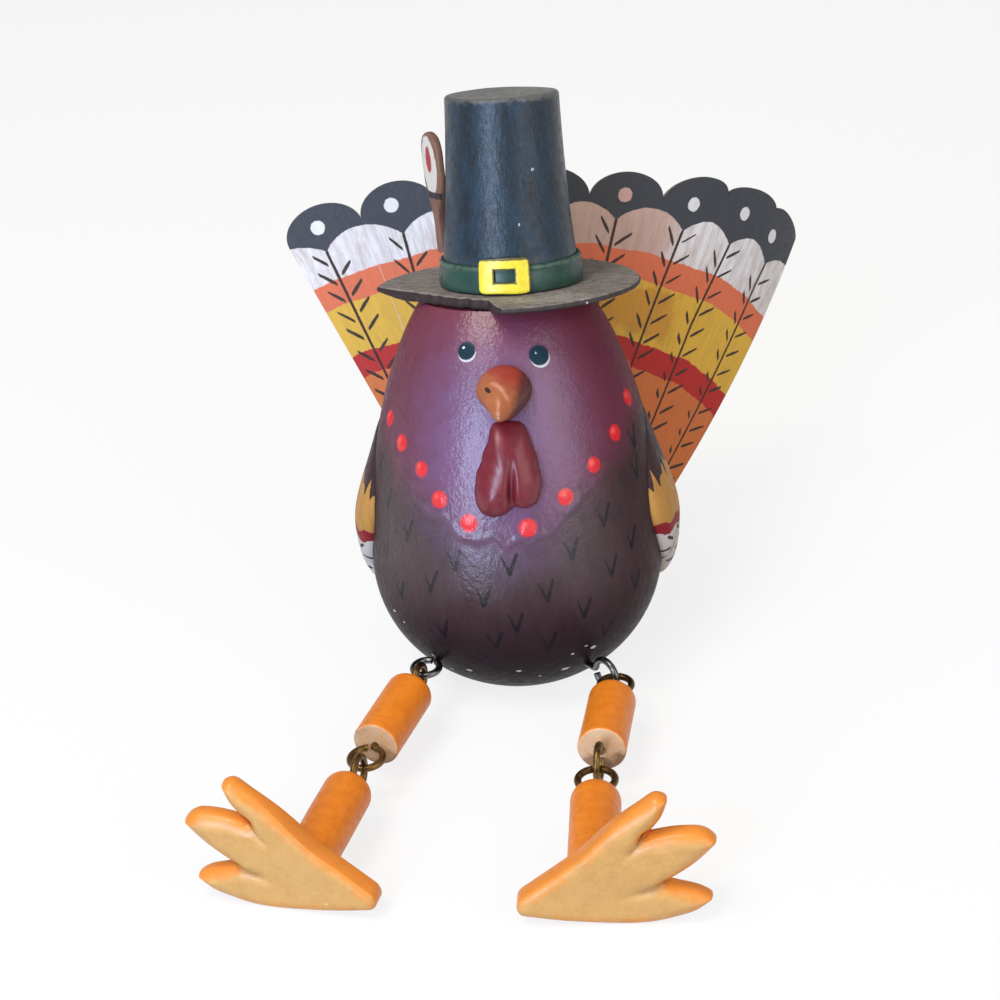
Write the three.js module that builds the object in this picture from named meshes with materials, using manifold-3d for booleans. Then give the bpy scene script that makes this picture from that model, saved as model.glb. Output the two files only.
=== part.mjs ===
// Seated wooden turkey in a tall buckled hat, with a thin tail fan and two jointed dowel legs.
// Millimetres, +Z up. The flat seat lies on z = 0 and the turkey faces -Y.
import * as THREE from 'three';
import { mergeVertices } from 'three/addons/utils/BufferGeometryUtils.js';
import Module from 'manifold-3d';

const wasm = await Module();
wasm.setup();

const degrees = THREE.MathUtils.degToRad;

// Fits shared by all the pieces
const GLUE_GAP = 0.3; // between pieces that are glued or laid on each other
const BORE_CLEARANCE = 0.3; // round a shank or pin, and past its end
const LINK_PLAY = 0.3; // between the wires of two linked eyes

// Body: an egg of revolution, leaned back and cut flat where it sits
const LEAN = degrees(10.7);
const SEAT_CUT = 5; // depth of the egg's bottom pole under the seat
const EGG_RADIUS = 40.6;
const EGG_LOWER = 38.7; // bottom pole to the widest ring
const EGG_UPPER = 87; // widest ring to the uncut top pole
const EGG_SIDES = 40;
const EGG_RINGS = 9; // on each side of the widest ring

// Face, turned a little off the body's centre line
const FACE_TURN = degrees(3);
const BEAK_HEIGHT = 91; // middle of its root, above the bottom pole
const BEAK_WIDTH = 14.8;
const BEAK_TALL = 14.6;
const BEAK_REACH = 12.5;
const BEAK_DROOP = 4.5;
const WATTLE_LENGTH = 22;
const WATTLE_WIDTH = 17.4;
const WATTLE_PROUD = 5.6;
const WATTLE_LOBE_STEP = 2.6; // how much the right lobe is shorter
const WATTLE_FULLNESS = 0.4; // how square the lobes' ends are

// Wings
const WING_AZIMUTH = degrees(98);
const WING_HEIGHT = 50.5; // middle, above the bottom pole
const WING_LENGTH = 36;
const WING_WIDTH = 34;
const WING_PROUD = 5.4;

// Hat
const HAT_SEAT = 110.9; // height of the flat that carries the brim
const BRIM_RADIUS = 36;
const BRIM_SHIFT = 1; // to the right of the body's axis
const BRIM_THICKNESS = 3;
const BRIM_EDGE = 0.7; // rounding of the rim
const BREAK_OFFSET = 22.8; // broken edge's distance from the hat's axis
const BREAK_AZIMUTH = degrees(-50);
const CROWN_SHIFT = 2.2; // to the right of the body's axis
const CROWN_BASE_RADIUS = 18.7;
const CROWN_TOP_RADIUS = 15.1;
const CROWN_HEIGHT = 50.4;
const CROWN_FLARE = 1.5; // power of the flare towards the brim
const CROWN_SIDES = 32;
const BAND_HEIGHT = 6.9;
const BAND_THICKNESS = 0.7;
const BUCKLE_WIDTH = 12.9;
const BUCKLE_HEIGHT = 9.2;
const BUCKLE_BAR = 3.3; // bar width of the frame
const BUCKLE_THICKNESS = 0.9;
const PIN_RADIUS = 4;
const PIN_DEPTH = 14; // into the body, and into the crown
const FEATHER_LENGTH = 34;
const FEATHER_HEAD = 15; // length of the paddle
const FEATHER_WIDTH = 12;
const FEATHER_STEM = 3.2;
const FEATHER_THICKNESS = 2.6;
const FEATHER_AZIMUTH = degrees(-107);
const FEATHER_FACING = degrees(-62);
const FEATHER_LEAN = degrees(6); // away from the crown

// Tail fan: flat feathers on rays from a point under the body, curled back towards the right
const FEATHERS = 8;
const FEATHER_PITCH = degrees(8.51);
const FAN_INSET = 3.3; // how far the fan's flat part is let into the egg's back
const FAN_SHIFT = 0.9; // ray point to the right of the body's axis
const FAN_DROP = 17.5; // ray point under the bottom pole
const FAN_ROLL = degrees(8.05);
const FAN_FOOT = 46; // lower edge's distance from the ray point
const FAN_RISES = [8.4, 8.4, 8, 8, 7.6, 6, 4, 3]; // height of each rounded cap
const FAN_THICKNESS = 1;
const CURL_START = -34.5; // across the fan, from its centre line
const CURL_RADIUS = 109;
const FAN_STEPS = 6; // across each feather
const FAN_ROWS = 5;
// Hand-cut notches beside the caps: place across in feathers, and distance from the ray point
const FAN_NOTCHES = [
  [0.02, 151.7], [1.04, 150.5], [2.04, 149.7], [3.04, 149], [4.04, 148.4],
  [5.08, 149.9], [6.09, 156.7], [7.14, 160.4], [7.93, 159],
];
const BRIM_ROOM = 1; // least room between brim and fan

// Fan screws
const SCREW_RADIUS = 1.5;
const SCREW_DEPTH = 12; // into the body
const SCREW_HEAD_RADIUS = 3.2;
const SCREW_HEAD_HEIGHT = 1.8;
const SCREW_FIRST = 50; // lower screw's distance from the ray point
const SCREW_PITCH = 13;
const SCREW_OFFSET = -18; // screws' place across the fan

// Screw eyes
const WIRE_RADIUS = 0.95;
const EYE_NECK = 0.6; // clear wire between ring and wood
const SHANK_DEPTH = 8.5;
const RING_SIDES = 6;
const RING_STEPS = 18;

// Legs
const DOWEL_RADIUS = 6.35;
const DOWEL_SIDES = 20;
const DOWEL_CHAMFER = 0.5;
const THIGH_LENGTH = 25;
const THIGH_ROUND = 2.4; // rounding of the top edge
const ANKLE_LENGTH = 31;
const ANKLE_ROUND = 3.6;
const ANKLE_HEIGHT = 11; // of the ankle's axis above the table
const FOOT_THICKNESS = 6.6;
const FOOT_BEVEL = 1;

// Each leg: where its hip eye is screwed in, its rings' wire radii, and how far its limbs splay outwards.
// On the left the first ring of each linked pair lies flat, on the right it stands upright.
const LEGS = [
  {
    name: 'left', side: -1, hipAzimuth: degrees(40.5), hipHeight: 15, hipNeck: 0.6,
    hipRing: 3.55, kneeRing: 4.25, thighSplay: degrees(16.5), ankleSplay: degrees(11.3), firstFlat: true,
  },
  {
    name: 'right', side: 1, hipAzimuth: degrees(41.5), hipHeight: 12, hipNeck: 2.8,
    hipRing: 4.25, kneeRing: 4.7, thighSplay: degrees(-5), ankleSplay: degrees(1), firstFlat: false,
  },
];

// Sole outline: each corner outwards from the ankle's axis, up from the table, and its rounding's reach
const FOOT_CORNERS = [
  [-18.2, 6.4, 1.5], [-18, 3, 1.5], [-6.3, 1, 4], [5.2, 0, 4], [16, 0.2, 4],
  [26.1, 3.2, 1.6], [26.7, 7.1, 1.6], [16.4, 10.9, 1.5], [28.4, 20.8, 1.7], [27.2, 24.9, 1.7],
  [11.7, 23.8, 1.5], [18, 31.2, 1.8], [15, 34.8, 1.8], [6.6, 28.6, 4], [-3.2, 18.3, 4],
];

const paint = {
  body: new THREE.MeshStandardMaterial({ color: 0x4a3034, roughness: 0.45, metalness: 0 }),
  beak: new THREE.MeshStandardMaterial({ color: 0xa35a26, roughness: 0.5, metalness: 0 }),
  wattle: new THREE.MeshStandardMaterial({ color: 0x7a1f26, roughness: 0.4, metalness: 0 }),
  wing: new THREE.MeshStandardMaterial({ color: 0x7a4a24, roughness: 0.55, metalness: 0 }),
  hat: new THREE.MeshStandardMaterial({ color: 0x1d2630, roughness: 0.5, metalness: 0 }),
  brim: new THREE.MeshStandardMaterial({ color: 0x56504a, roughness: 0.7, metalness: 0 }),
  band: new THREE.MeshStandardMaterial({ color: 0x1f4a3f, roughness: 0.5, metalness: 0 }),
  buckle: new THREE.MeshStandardMaterial({ color: 0xe8d23a, roughness: 0.5, metalness: 0 }),
  feather: new THREE.MeshStandardMaterial({ color: 0x7b5138, roughness: 0.6, metalness: 0 }),
  fan: new THREE.MeshStandardMaterial({ color: 0xc98a3a, roughness: 0.55, metalness: 0.1 }),
  wood: new THREE.MeshStandardMaterial({ color: 0xd2a87a, roughness: 0.7, metalness: 0 }),
  leg: new THREE.MeshStandardMaterial({ color: 0xe28a26, roughness: 0.5, metalness: 0 }),
  foot: new THREE.MeshStandardMaterial({ color: 0xd9a25a, roughness: 0.55, metalness: 0 }),
  steel: new THREE.MeshStandardMaterial({ color: 0x6f7378, roughness: 0.35, metalness: 1 }),
  bronze: new THREE.MeshStandardMaterial({ color: 0x7d6438, roughness: 0.4, metalness: 1 }),
};

const figure = new THREE.Group();
const torso = new THREE.Group();
torso.position.z = -SEAT_CUT;
torso.rotation.x = -LEAN;
torso.updateMatrix();
figure.add(torso);
const intoTorso = torso.matrix.clone().invert();

// A mesh of its own material, named and added to a group
function addPiece(group, name, geometry, material) {
  const mesh = new THREE.Mesh(geometry, material.clone());
  mesh.name = name;
  group.add(mesh);
  return mesh;
}

// A closed geometry as a solid that can be joined and cut
function toSolid(geometry) {
  const bare = geometry.clone();
  bare.deleteAttribute('normal');
  bare.deleteAttribute('uv');
  const merged = mergeVertices(bare, 1e-5);
  const vertProperties = new Float32Array(merged.attributes.position.array);
  const triVerts = new Uint32Array(merged.index.array);
  const mesh = new wasm.Mesh({ numProp: 3, vertProperties, triVerts });
  mesh.merge();
  return new wasm.Manifold(mesh);
}

function toGeometry(solid) {
  const mesh = solid.getMesh();
  const geometry = new THREE.BufferGeometry();
  geometry.setAttribute('position', new THREE.BufferAttribute(mesh.vertProperties, 3));
  geometry.setIndex(new THREE.BufferAttribute(mesh.triVerts, 1));
  return geometry;
}

// Moves every vertex of a geometry by a function that changes the point in place
function reshape(geometry, move) {
  const position = geometry.attributes.position;
  const point = new THREE.Vector3();
  for (let i = 0; i < position.count; i += 1) {
    point.fromBufferAttribute(position, i);
    move(point);
    position.setXYZ(i, point.x, point.y, point.z);
  }
  return geometry;
}

// A profile of [radius, height] turned about +Z
function turned(profile, sides) {
  const points = profile.map(([radius, height]) => new THREE.Vector2(radius, height));
  return new THREE.LatheGeometry(points, sides).rotateX(Math.PI / 2);
}

// A solid rod between two points
function rod(start, end, radius, sides) {
  const along = end.clone().sub(start);
  const geometry = new THREE.CylinderGeometry(radius, radius, along.length(), sides);
  const turn = new THREE.Quaternion().setFromUnitVectors(
    new THREE.Vector3(0, 1, 0),
    along.clone().normalize(),
  );
  geometry.applyQuaternion(turn);
  geometry.translate(...start.clone().add(end).multiplyScalar(0.5).toArray());
  return toSolid(geometry);
}

// Egg

function eggRadius(height) {
  const reach = height < EGG_LOWER ? EGG_LOWER : EGG_UPPER;
  const share = Math.min(1, Math.abs(height - EGG_LOWER) / reach);
  return EGG_RADIUS * Math.sqrt(1 - share * share);
}

// Point on the egg; azimuth 0 is the front and grows towards +X
function onEgg(azimuth, height, proud) {
  const radius = eggRadius(height) + proud;
  return new THREE.Vector3(radius * Math.sin(azimuth), -radius * Math.cos(azimuth), height);
}

function eggSolid(grow) {
  const profile = [];
  for (let i = -EGG_RINGS; i <= EGG_RINGS; i += 1) {
    const angle = (i / EGG_RINGS) * (Math.PI / 2);
    const reach = (i < 0 ? EGG_LOWER : EGG_UPPER) + grow;
    const radius = Math.abs(i) === EGG_RINGS ? 0 : (EGG_RADIUS + grow) * Math.cos(angle);
    profile.push([radius, EGG_LOWER + reach * Math.sin(angle)]);
  }
  return toSolid(turned(profile, EGG_SIDES));
}

const eggSkin = eggSolid(GLUE_GAP);

// Tail fan

// Point of the fan's sheet from a place across it and along its centre line, depth behind its front
function onFan(across, along, depth) {
  const bend = Math.max(0, (across - CURL_START) / CURL_RADIUS);
  const arc = Math.min(across, CURL_START) + CURL_RADIUS * Math.sin(bend) - depth * Math.sin(bend);
  const flat = bend > 0 ? arc : across;
  const back = CURL_RADIUS * (1 - Math.cos(bend)) + depth * Math.cos(bend);
  return new THREE.Vector3(
    FAN_SHIFT + flat * Math.cos(FAN_ROLL) + along * Math.sin(FAN_ROLL),
    EGG_RADIUS - FAN_INSET + back,
    -FAN_DROP + along * Math.cos(FAN_ROLL) - flat * Math.sin(FAN_ROLL),
  );
}

// The scalloped sheet between two depths behind its front face
function fanSheet(frontDepth, backDepth) {
  const steps = FEATHERS * FAN_STEPS;
  const block = new THREE.BoxGeometry(1, 1, 1, steps, FAN_ROWS, 1);
  return reshape(block, (point) => {
    const step = Math.round((point.x + 0.5) * steps);
    const feather = Math.min(FEATHERS - 1, Math.floor(step / FAN_STEPS));
    const turn = ((step - feather * FAN_STEPS) / FAN_STEPS) * Math.PI;
    const share = (1 - Math.cos(turn)) / 2;
    const [near, far] = [FAN_NOTCHES[feather], FAN_NOTCHES[feather + 1]];
    const ray = (near[0] + (far[0] - near[0]) * share - FEATHERS / 2) * FEATHER_PITCH;
    const rim = near[1] + (far[1] - near[1]) * share + FAN_RISES[feather] * Math.sin(turn);
    const radius = FAN_FOOT + (rim - FAN_FOOT) * (point.y + 0.5);
    const depth = point.z > 0 ? frontDepth : backDepth;
    point.copy(onFan(radius * Math.sin(ray), radius * Math.cos(ray), depth));
  });
}

// Room that the fan takes out of the pieces in front of it
const fanRoom = (gap) => toSolid(fanSheet(-gap, EGG_RADIUS));

function screwSeat(index, depth) {
  return onFan(SCREW_OFFSET, SCREW_FIRST + index * SCREW_PITCH, depth);
}

function screwHole(index, radius) {
  const start = screwSeat(index, FAN_THICKNESS + SCREW_HEAD_HEIGHT);
  const end = screwSeat(index, -SCREW_DEPTH - BORE_CLEARANCE);
  return rod(start, end, radius, 16);
}

const SCREWS = ['fan_screw_lower', 'fan_screw_upper'];
let fan = toSolid(fanSheet(0, FAN_THICKNESS));
SCREWS.forEach((name, index) => {
  fan = fan.subtract(screwHole(index, SCREW_RADIUS + BORE_CLEARANCE));
  const seat = screwSeat(index, FAN_THICKNESS + GLUE_GAP);
  const tip = screwSeat(index, -SCREW_DEPTH);
  const reach = seat.distanceTo(tip);
  const profile = [
    [0, -reach],
    [SCREW_RADIUS, SCREW_RADIUS - reach],
    [SCREW_RADIUS, 0],
    [SCREW_HEAD_RADIUS, 0],
    [SCREW_HEAD_RADIUS * 0.8, SCREW_HEAD_HEIGHT * 0.75],
    [0, SCREW_HEAD_HEIGHT],
  ];
  const screw = addPiece(torso, name, turned(profile, 16), paint.steel);
  screw.position.copy(seat);
  screw.quaternion.setFromUnitVectors(
    new THREE.Vector3(0, 0, 1),
    seat.clone().sub(tip).normalize(),
  );
});
addPiece(torso, 'tail_fan', toGeometry(fan), paint.fan);

// Screw eyes

// A closed ring at the origin in the XY plane with its shank along -Y
function screwEye(ringRadius, neck = EYE_NECK) {
  const ring = toSolid(new THREE.TorusGeometry(ringRadius, WIRE_RADIUS, RING_SIDES, RING_STEPS));
  const start = new THREE.Vector3(0, -ringRadius, 0);
  const end = new THREE.Vector3(0, -eyeSeat(ringRadius, neck) - SHANK_DEPTH, 0);
  return toGeometry(ring.add(rod(start, end, WIRE_RADIUS, RING_SIDES)));
}

// Ring centre to the wood that the shank is screwed into
function eyeSeat(ringRadius, neck = EYE_NECK) {
  return ringRadius + WIRE_RADIUS + neck;
}

// Link point to the centre of the ring that hangs on it
function linkReach(ringRadius) {
  return ringRadius - 2 * WIRE_RADIUS - LINK_PLAY;
}

function place(mesh, across, along, origin) {
  const normal = across.clone().cross(along);
  const matrix = new THREE.Matrix4().makeBasis(across, along, normal).setPosition(origin);
  mesh.applyMatrix4(matrix);
}

// Legs

// A dowel along +Y from 0 to its length, with its top edge rounded and a bore in each end or in one
function dowel(length, round, boredBelow) {
  const bore = WIRE_RADIUS + BORE_CLEARANCE;
  const depth = SHANK_DEPTH + BORE_CLEARANCE;
  const points = [[0, depth], [bore, depth], [bore, 0]];
  const arcSteps = 3;
  for (let i = 0; i <= arcSteps; i += 1) {
    const angle = (i / arcSteps) * (Math.PI / 2);
    const inset = round * (1 - Math.sin(angle));
    points.push([DOWEL_RADIUS - inset, round * (1 - Math.cos(angle))]);
  }
  points.push([DOWEL_RADIUS, length - DOWEL_CHAMFER], [DOWEL_RADIUS - DOWEL_CHAMFER, length]);
  if (boredBelow) points.push([bore, length], [bore, length - depth], [0, length - depth]);
  else points.push([0, length]);
  return new THREE.LatheGeometry(points.map(([x, y]) => new THREE.Vector2(x, y)), DOWEL_SIDES);
}

// The sole's outline in the plane of the foot, with outwards to the given side
function footShape(side) {
  const corners = FOOT_CORNERS.map(([out, high]) => new THREE.Vector2(side * out, high - ANKLE_HEIGHT));
  const shape = new THREE.Shape();
  corners.forEach((corner, i) => {
    const reach = FOOT_CORNERS[i][2];
    const towards = (other) => other.clone().sub(corner).setLength(reach).add(corner);
    const before = towards(corners.at(i - 1));
    const after = towards(corners[(i + 1) % corners.length]);
    if (i === 0) shape.moveTo(before.x, before.y);
    else shape.lineTo(before.x, before.y);
    shape.quadraticCurveTo(corner.x, corner.y, after.x, after.y);
  });
  return shape;
}

function footGeometry(side) {
  return new THREE.ExtrudeGeometry(footShape(side), {
    depth: FOOT_THICKNESS - 2 * FOOT_BEVEL,
    bevelThickness: FOOT_BEVEL,
    bevelSize: FOOT_BEVEL,
    bevelOffset: -FOOT_BEVEL,
    bevelSegments: 2,
    curveSegments: 3,
  }).translate(0, 0, FOOT_BEVEL);
}

const hipBores = [];
const up = new THREE.Vector3(0, 0, 1);

for (const leg of LEGS) {
  const { name, side, hipRing, kneeRing, firstFlat } = leg;
  const heading = (splay) => new THREE.Vector3(side * Math.sin(splay), -Math.cos(splay), 0);
  const hipTurn = leg.hipAzimuth - leg.thighSplay;
  const kneeTurn = leg.ankleSplay - leg.thighSplay;
  const hipSeat = eyeSeat(hipRing, leg.hipNeck);
  const root = onEgg(side * leg.hipAzimuth, leg.hipHeight, 0).applyMatrix4(torso.matrix);

  // The thigh slopes so that the ankle's link comes down to the ankle's height
  const hipReach = hipSeat * Math.cos(hipTurn) + hipRing * (firstFlat ? 1 : Math.cos(hipTurn));
  const kneeReach = eyeSeat(kneeRing) + kneeRing * (firstFlat ? Math.cos(kneeTurn) : 1);
  const reach = hipReach + linkReach(hipRing) + eyeSeat(hipRing) + THIGH_LENGTH + kneeReach;
  const slope = Math.asin((root.z - ANKLE_HEIGHT) / reach);
  const along = heading(leg.thighSplay).multiplyScalar(Math.cos(slope));
  along.z = -Math.sin(slope);
  const outward = up.clone().cross(heading(leg.thighSplay)).multiplyScalar(side);
  const inPlane = (turn) =>
    along.clone().multiplyScalar(Math.cos(turn)).addScaledVector(outward, Math.sin(turn));
  const sideways = outward.clone().multiplyScalar(-side);
  const upright = sideways.clone().cross(along);
  // A ring's direction across its shank, for a ring that lies flat or stands upright
  const across = (flat, shank) => (flat ? shank.clone().cross(upright).normalize() : upright);

  // Hip eye, screwed into the body
  const hipAlong = inPlane(hipTurn);
  const hipCentre = root.clone().addScaledVector(hipAlong, hipSeat);
  const hipEye = addPiece(figure, `${name}_hip_eye`, screwEye(hipRing, leg.hipNeck), paint.steel);
  place(hipEye, across(firstFlat, hipAlong), hipAlong, hipCentre);
  const boreEnd = root.clone().addScaledVector(hipAlong, -SHANK_DEPTH - BORE_CLEARANCE);
  const bore = rod(hipCentre, boreEnd, WIRE_RADIUS + BORE_CLEARANCE, RING_SIDES * 2);
  hipBores.push(bore.transform(intoTorso.elements));

  // Thigh with an eye in each end
  const hipLink = hipCentre.clone().addScaledVector(firstFlat ? along : hipAlong, hipRing);
  const upperCentre = hipLink.clone().addScaledVector(along, linkReach(hipRing));
  const back = along.clone().negate();
  const upperEye = addPiece(figure, `${name}_thigh_upper_eye`, screwEye(hipRing), paint.bronze);
  place(upperEye, across(!firstFlat, back), back, upperCentre);
  const thighTop = upperCentre.clone().addScaledVector(along, eyeSeat(hipRing));
  const thigh = addPiece(figure, `${name}_thigh`, dowel(THIGH_LENGTH, THIGH_ROUND, true), paint.leg);
  place(thigh, sideways, along, thighTop);
  const lowerCentre = thighTop.clone().addScaledVector(along, THIGH_LENGTH + eyeSeat(kneeRing));
  const lowerEye = addPiece(figure, `${name}_thigh_lower_eye`, screwEye(kneeRing), paint.bronze);
  place(lowerEye, across(firstFlat, along), along, lowerCentre);

  // Ankle with its eye, and the foot on its end
  const kneeLink = lowerCentre.clone().addScaledVector(firstFlat ? inPlane(kneeTurn) : along, kneeRing);
  const level = heading(leg.ankleSplay);
  const ankleCentre = kneeLink.clone().addScaledVector(level, linkReach(kneeRing));
  const ankleEye = addPiece(figure, `${name}_ankle_eye`, screwEye(kneeRing), paint.bronze);
  const ankleAcross = firstFlat ? up : up.clone().cross(level);
  place(ankleEye, ankleAcross, level.clone().negate(), ankleCentre);
  const ankleTop = ankleCentre.clone().addScaledVector(level, eyeSeat(kneeRing));
  const ankle = addPiece(figure, `${name}_ankle`, dowel(ANKLE_LENGTH, ANKLE_ROUND, false), paint.leg);
  place(ankle, level.clone().cross(up).negate(), level, ankleTop);
  const footBack = ankleTop.clone().addScaledVector(level, ANKLE_LENGTH + GLUE_GAP);
  const foot = addPiece(figure, `${name}_foot`, footGeometry(side), paint.foot);
  place(foot, up.clone().cross(level), up, footBack);
}

// Body, cut for the seat, the hat, the fan and everything that is screwed into it

const BLOCK = 4 * EGG_UPPER; // a block larger than the body
const tableBlock = new THREE.BoxGeometry(BLOCK, BLOCK, BLOCK).translate(0, 0, -BLOCK / 2);
const hatBlock = new THREE.BoxGeometry(BLOCK, BLOCK, BLOCK).translate(0, 0, HAT_SEAT + BLOCK / 2);
const pinStart = new THREE.Vector3(CROWN_SHIFT, 0, HAT_SEAT - PIN_DEPTH - BORE_CLEARANCE);
const pinEnd = new THREE.Vector3(CROWN_SHIFT, 0, HAT_SEAT + BRIM_THICKNESS);
let egg = eggSolid(0)
  .subtract(toSolid(tableBlock.applyMatrix4(intoTorso)))
  .subtract(toSolid(hatBlock))
  .subtract(fanRoom(GLUE_GAP))
  .subtract(rod(pinStart, pinEnd, PIN_RADIUS + BORE_CLEARANCE, DOWEL_SIDES));
for (const bore of hipBores) egg = egg.subtract(bore);
SCREWS.forEach((name, index) => {
  egg = egg.subtract(screwHole(index, SCREW_RADIUS + BORE_CLEARANCE));
});
addPiece(torso, 'body_egg', toGeometry(egg), paint.body);

// Beak: an egg-shaped bud that narrows and hooks down towards its tip
const beakRoot = eggRadius(BEAK_HEIGHT);
const bud = reshape(new THREE.SphereGeometry(1, 20, 14), (point) => {
  const forward = Math.max(0, -point.y);
  const narrow = 1 - 0.45 * forward;
  point.x *= (BEAK_WIDTH / 2) * narrow;
  point.z = BEAK_HEIGHT + point.z * (BEAK_TALL / 2) * narrow - BEAK_DROOP * forward * forward;
  point.y = -beakRoot + point.y * BEAK_REACH;
}).rotateZ(FACE_TURN);
addPiece(torso, 'beak', toGeometry(toSolid(bud).subtract(eggSkin)), paint.beak);

// Wattle: two hanging lobes under the beak, the right one shorter
const wattleTop = BEAK_HEIGHT - BEAK_TALL / 2 - BEAK_DROOP * 0.4 - GLUE_GAP;
function lobe(side) {
  const length = WATTLE_LENGTH - (side > 0 ? WATTLE_LOBE_STEP : 0);
  const middle = wattleTop - length / 2;
  return toSolid(
    reshape(new THREE.SphereGeometry(1, 18, 14), (point) => {
      const ring = Math.hypot(point.x, point.y);
      const full = ring > 0.1 ? ring ** -WATTLE_FULLNESS : 1;
      const swell = full * (1 - 0.14 * point.z);
      const height = middle + (point.z * length) / 2;
      const sideways = side * WATTLE_WIDTH * 0.2 + point.x * WATTLE_WIDTH * 0.29 * swell;
      const azimuth = FACE_TURN + sideways / eggRadius(middle);
      point.copy(onEgg(azimuth, height, -point.y * WATTLE_PROUD * swell));
    }),
  );
}
const wattle = lobe(-1).add(lobe(1)).subtract(eggSkin);
addPiece(torso, 'wattle', toGeometry(wattle), paint.wattle);

// Wings: raised drops on the body's sides, round above and narrowing to a tip below
for (const { name, side } of LEGS) {
  const drop = reshape(new THREE.SphereGeometry(1, 24, 16), (point) => {
    const height = WING_HEIGHT + (point.z * WING_LENGTH) / 2;
    const taper = 0.78 + 0.22 * point.z;
    const sideways = (point.x * WING_WIDTH * taper) / 2;
    const azimuth = side * WING_AZIMUTH + sideways / eggRadius(WING_HEIGHT);
    point.copy(onEgg(azimuth, height, -point.y * WING_PROUD));
  });
  addPiece(torso, `${name}_wing`, toGeometry(toSolid(drop).subtract(eggSkin)), paint.wing);
}

// Hat brim: a thin disc, broken off along the grain at the front left
const brimBase = HAT_SEAT + GLUE_GAP;
const breakTurn = Math.acos(BREAK_OFFSET / BRIM_RADIUS);
const breakAngle = -Math.PI / 2 + BREAK_AZIMUTH;
const disc = new THREE.Shape();
disc.absarc(0, 0, BRIM_RADIUS, breakAngle + breakTurn, breakAngle - breakTurn + 2 * Math.PI);
disc.closePath();
const pinHole = new THREE.Path();
pinHole.absarc(CROWN_SHIFT - BRIM_SHIFT, 0, PIN_RADIUS + BORE_CLEARANCE, 0, 2 * Math.PI, true);
disc.holes.push(pinHole);
const brimGeometry = new THREE.ExtrudeGeometry(disc, {
  depth: BRIM_THICKNESS - 2 * BRIM_EDGE,
  bevelThickness: BRIM_EDGE,
  bevelSize: BRIM_EDGE,
  bevelOffset: -BRIM_EDGE,
  bevelSegments: 1,
  curveSegments: 20,
}).translate(BRIM_SHIFT, 0, brimBase + BRIM_EDGE);
const brim = toSolid(brimGeometry).subtract(fanRoom(BRIM_ROOM));
addPiece(torso, 'hat_brim', toGeometry(brim), paint.brim);

// The pieces above the brim stand on the crown's own axis
const hat = new THREE.Group();
hat.position.x = CROWN_SHIFT;
torso.add(hat);

// Hat crown: a tall tapered plug that flares at its foot
const crownBase = brimBase + BRIM_THICKNESS + GLUE_GAP;
function crownRadius(height) {
  const share = Math.max(0, 1 - (height - crownBase) / CROWN_HEIGHT);
  return CROWN_TOP_RADIUS + (CROWN_BASE_RADIUS - CROWN_TOP_RADIUS) * share ** CROWN_FLARE;
}

function crownWall(low, high, grow, steps) {
  const wall = [];
  for (let i = 0; i <= steps; i += 1) {
    const height = low + ((high - low) * i) / steps;
    wall.push([crownRadius(height) + grow, height]);
  }
  return wall;
}

const crownTop = crownBase + CROWN_HEIGHT;
const crownBore = PIN_RADIUS + BORE_CLEARANCE;
const crownBoreEnd = crownBase + PIN_DEPTH + BORE_CLEARANCE;
const crownProfile = [
  [0, crownBoreEnd],
  [crownBore, crownBoreEnd],
  [crownBore, crownBase],
  ...crownWall(crownBase, crownTop, 0, 6),
  [0, crownTop],
];
addPiece(hat, 'hat_crown', turned(crownProfile, CROWN_SIDES), paint.hat);

const pinLength = PIN_DEPTH + crownBase - HAT_SEAT + PIN_DEPTH;
const pin = addPiece(
  hat,
  'hat_pin',
  new THREE.CylinderGeometry(PIN_RADIUS, PIN_RADIUS, pinLength, DOWEL_SIDES).rotateX(Math.PI / 2),
  paint.wood,
);
pin.position.z = HAT_SEAT - PIN_DEPTH + pinLength / 2;

// Hat band: a thin strip round the crown's foot
const bandLow = crownBase + GLUE_GAP;
const bandHigh = bandLow + BAND_HEIGHT;
const bandInner = crownWall(bandLow, bandHigh, GLUE_GAP, 3);
const bandOuter = crownWall(bandLow, bandHigh, GLUE_GAP + BAND_THICKNESS, 3);
const bandProfile = [...bandOuter, ...bandInner.reverse(), bandOuter[0]];
addPiece(hat, 'hat_band', turned(bandProfile, CROWN_SIDES), paint.band);

// Hat buckle: a square frame bent round the front of the band
const buckleLow = bandLow;
const buckleGrow = GLUE_GAP + BAND_THICKNESS + GLUE_GAP;
function buckleBlock(width, low, high, innerGrow, outerGrow) {
  return toSolid(
    reshape(new THREE.BoxGeometry(1, 1, 1, 8, 1, 4), (point) => {
      const height = low + (point.z + 0.5) * (high - low);
      const radius = crownRadius(height) + (point.y < 0 ? outerGrow : innerGrow);
      const azimuth = (point.x * width) / CROWN_BASE_RADIUS;
      point.set(radius * Math.sin(azimuth), -radius * Math.cos(azimuth), height);
    }),
  );
}
const buckleTop = buckleLow + BUCKLE_HEIGHT;
const buckleOuter = buckleGrow + BUCKLE_THICKNESS;
const frame = buckleBlock(BUCKLE_WIDTH, buckleLow, buckleTop, buckleGrow, buckleOuter);
const opening = buckleBlock(
  BUCKLE_WIDTH - 2 * BUCKLE_BAR,
  buckleLow + BUCKLE_BAR,
  buckleTop - BUCKLE_BAR,
  buckleGrow - GLUE_GAP / 2,
  buckleOuter + GLUE_GAP,
);
addPiece(hat, 'hat_buckle', toGeometry(frame.subtract(opening)), paint.buckle);

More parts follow.
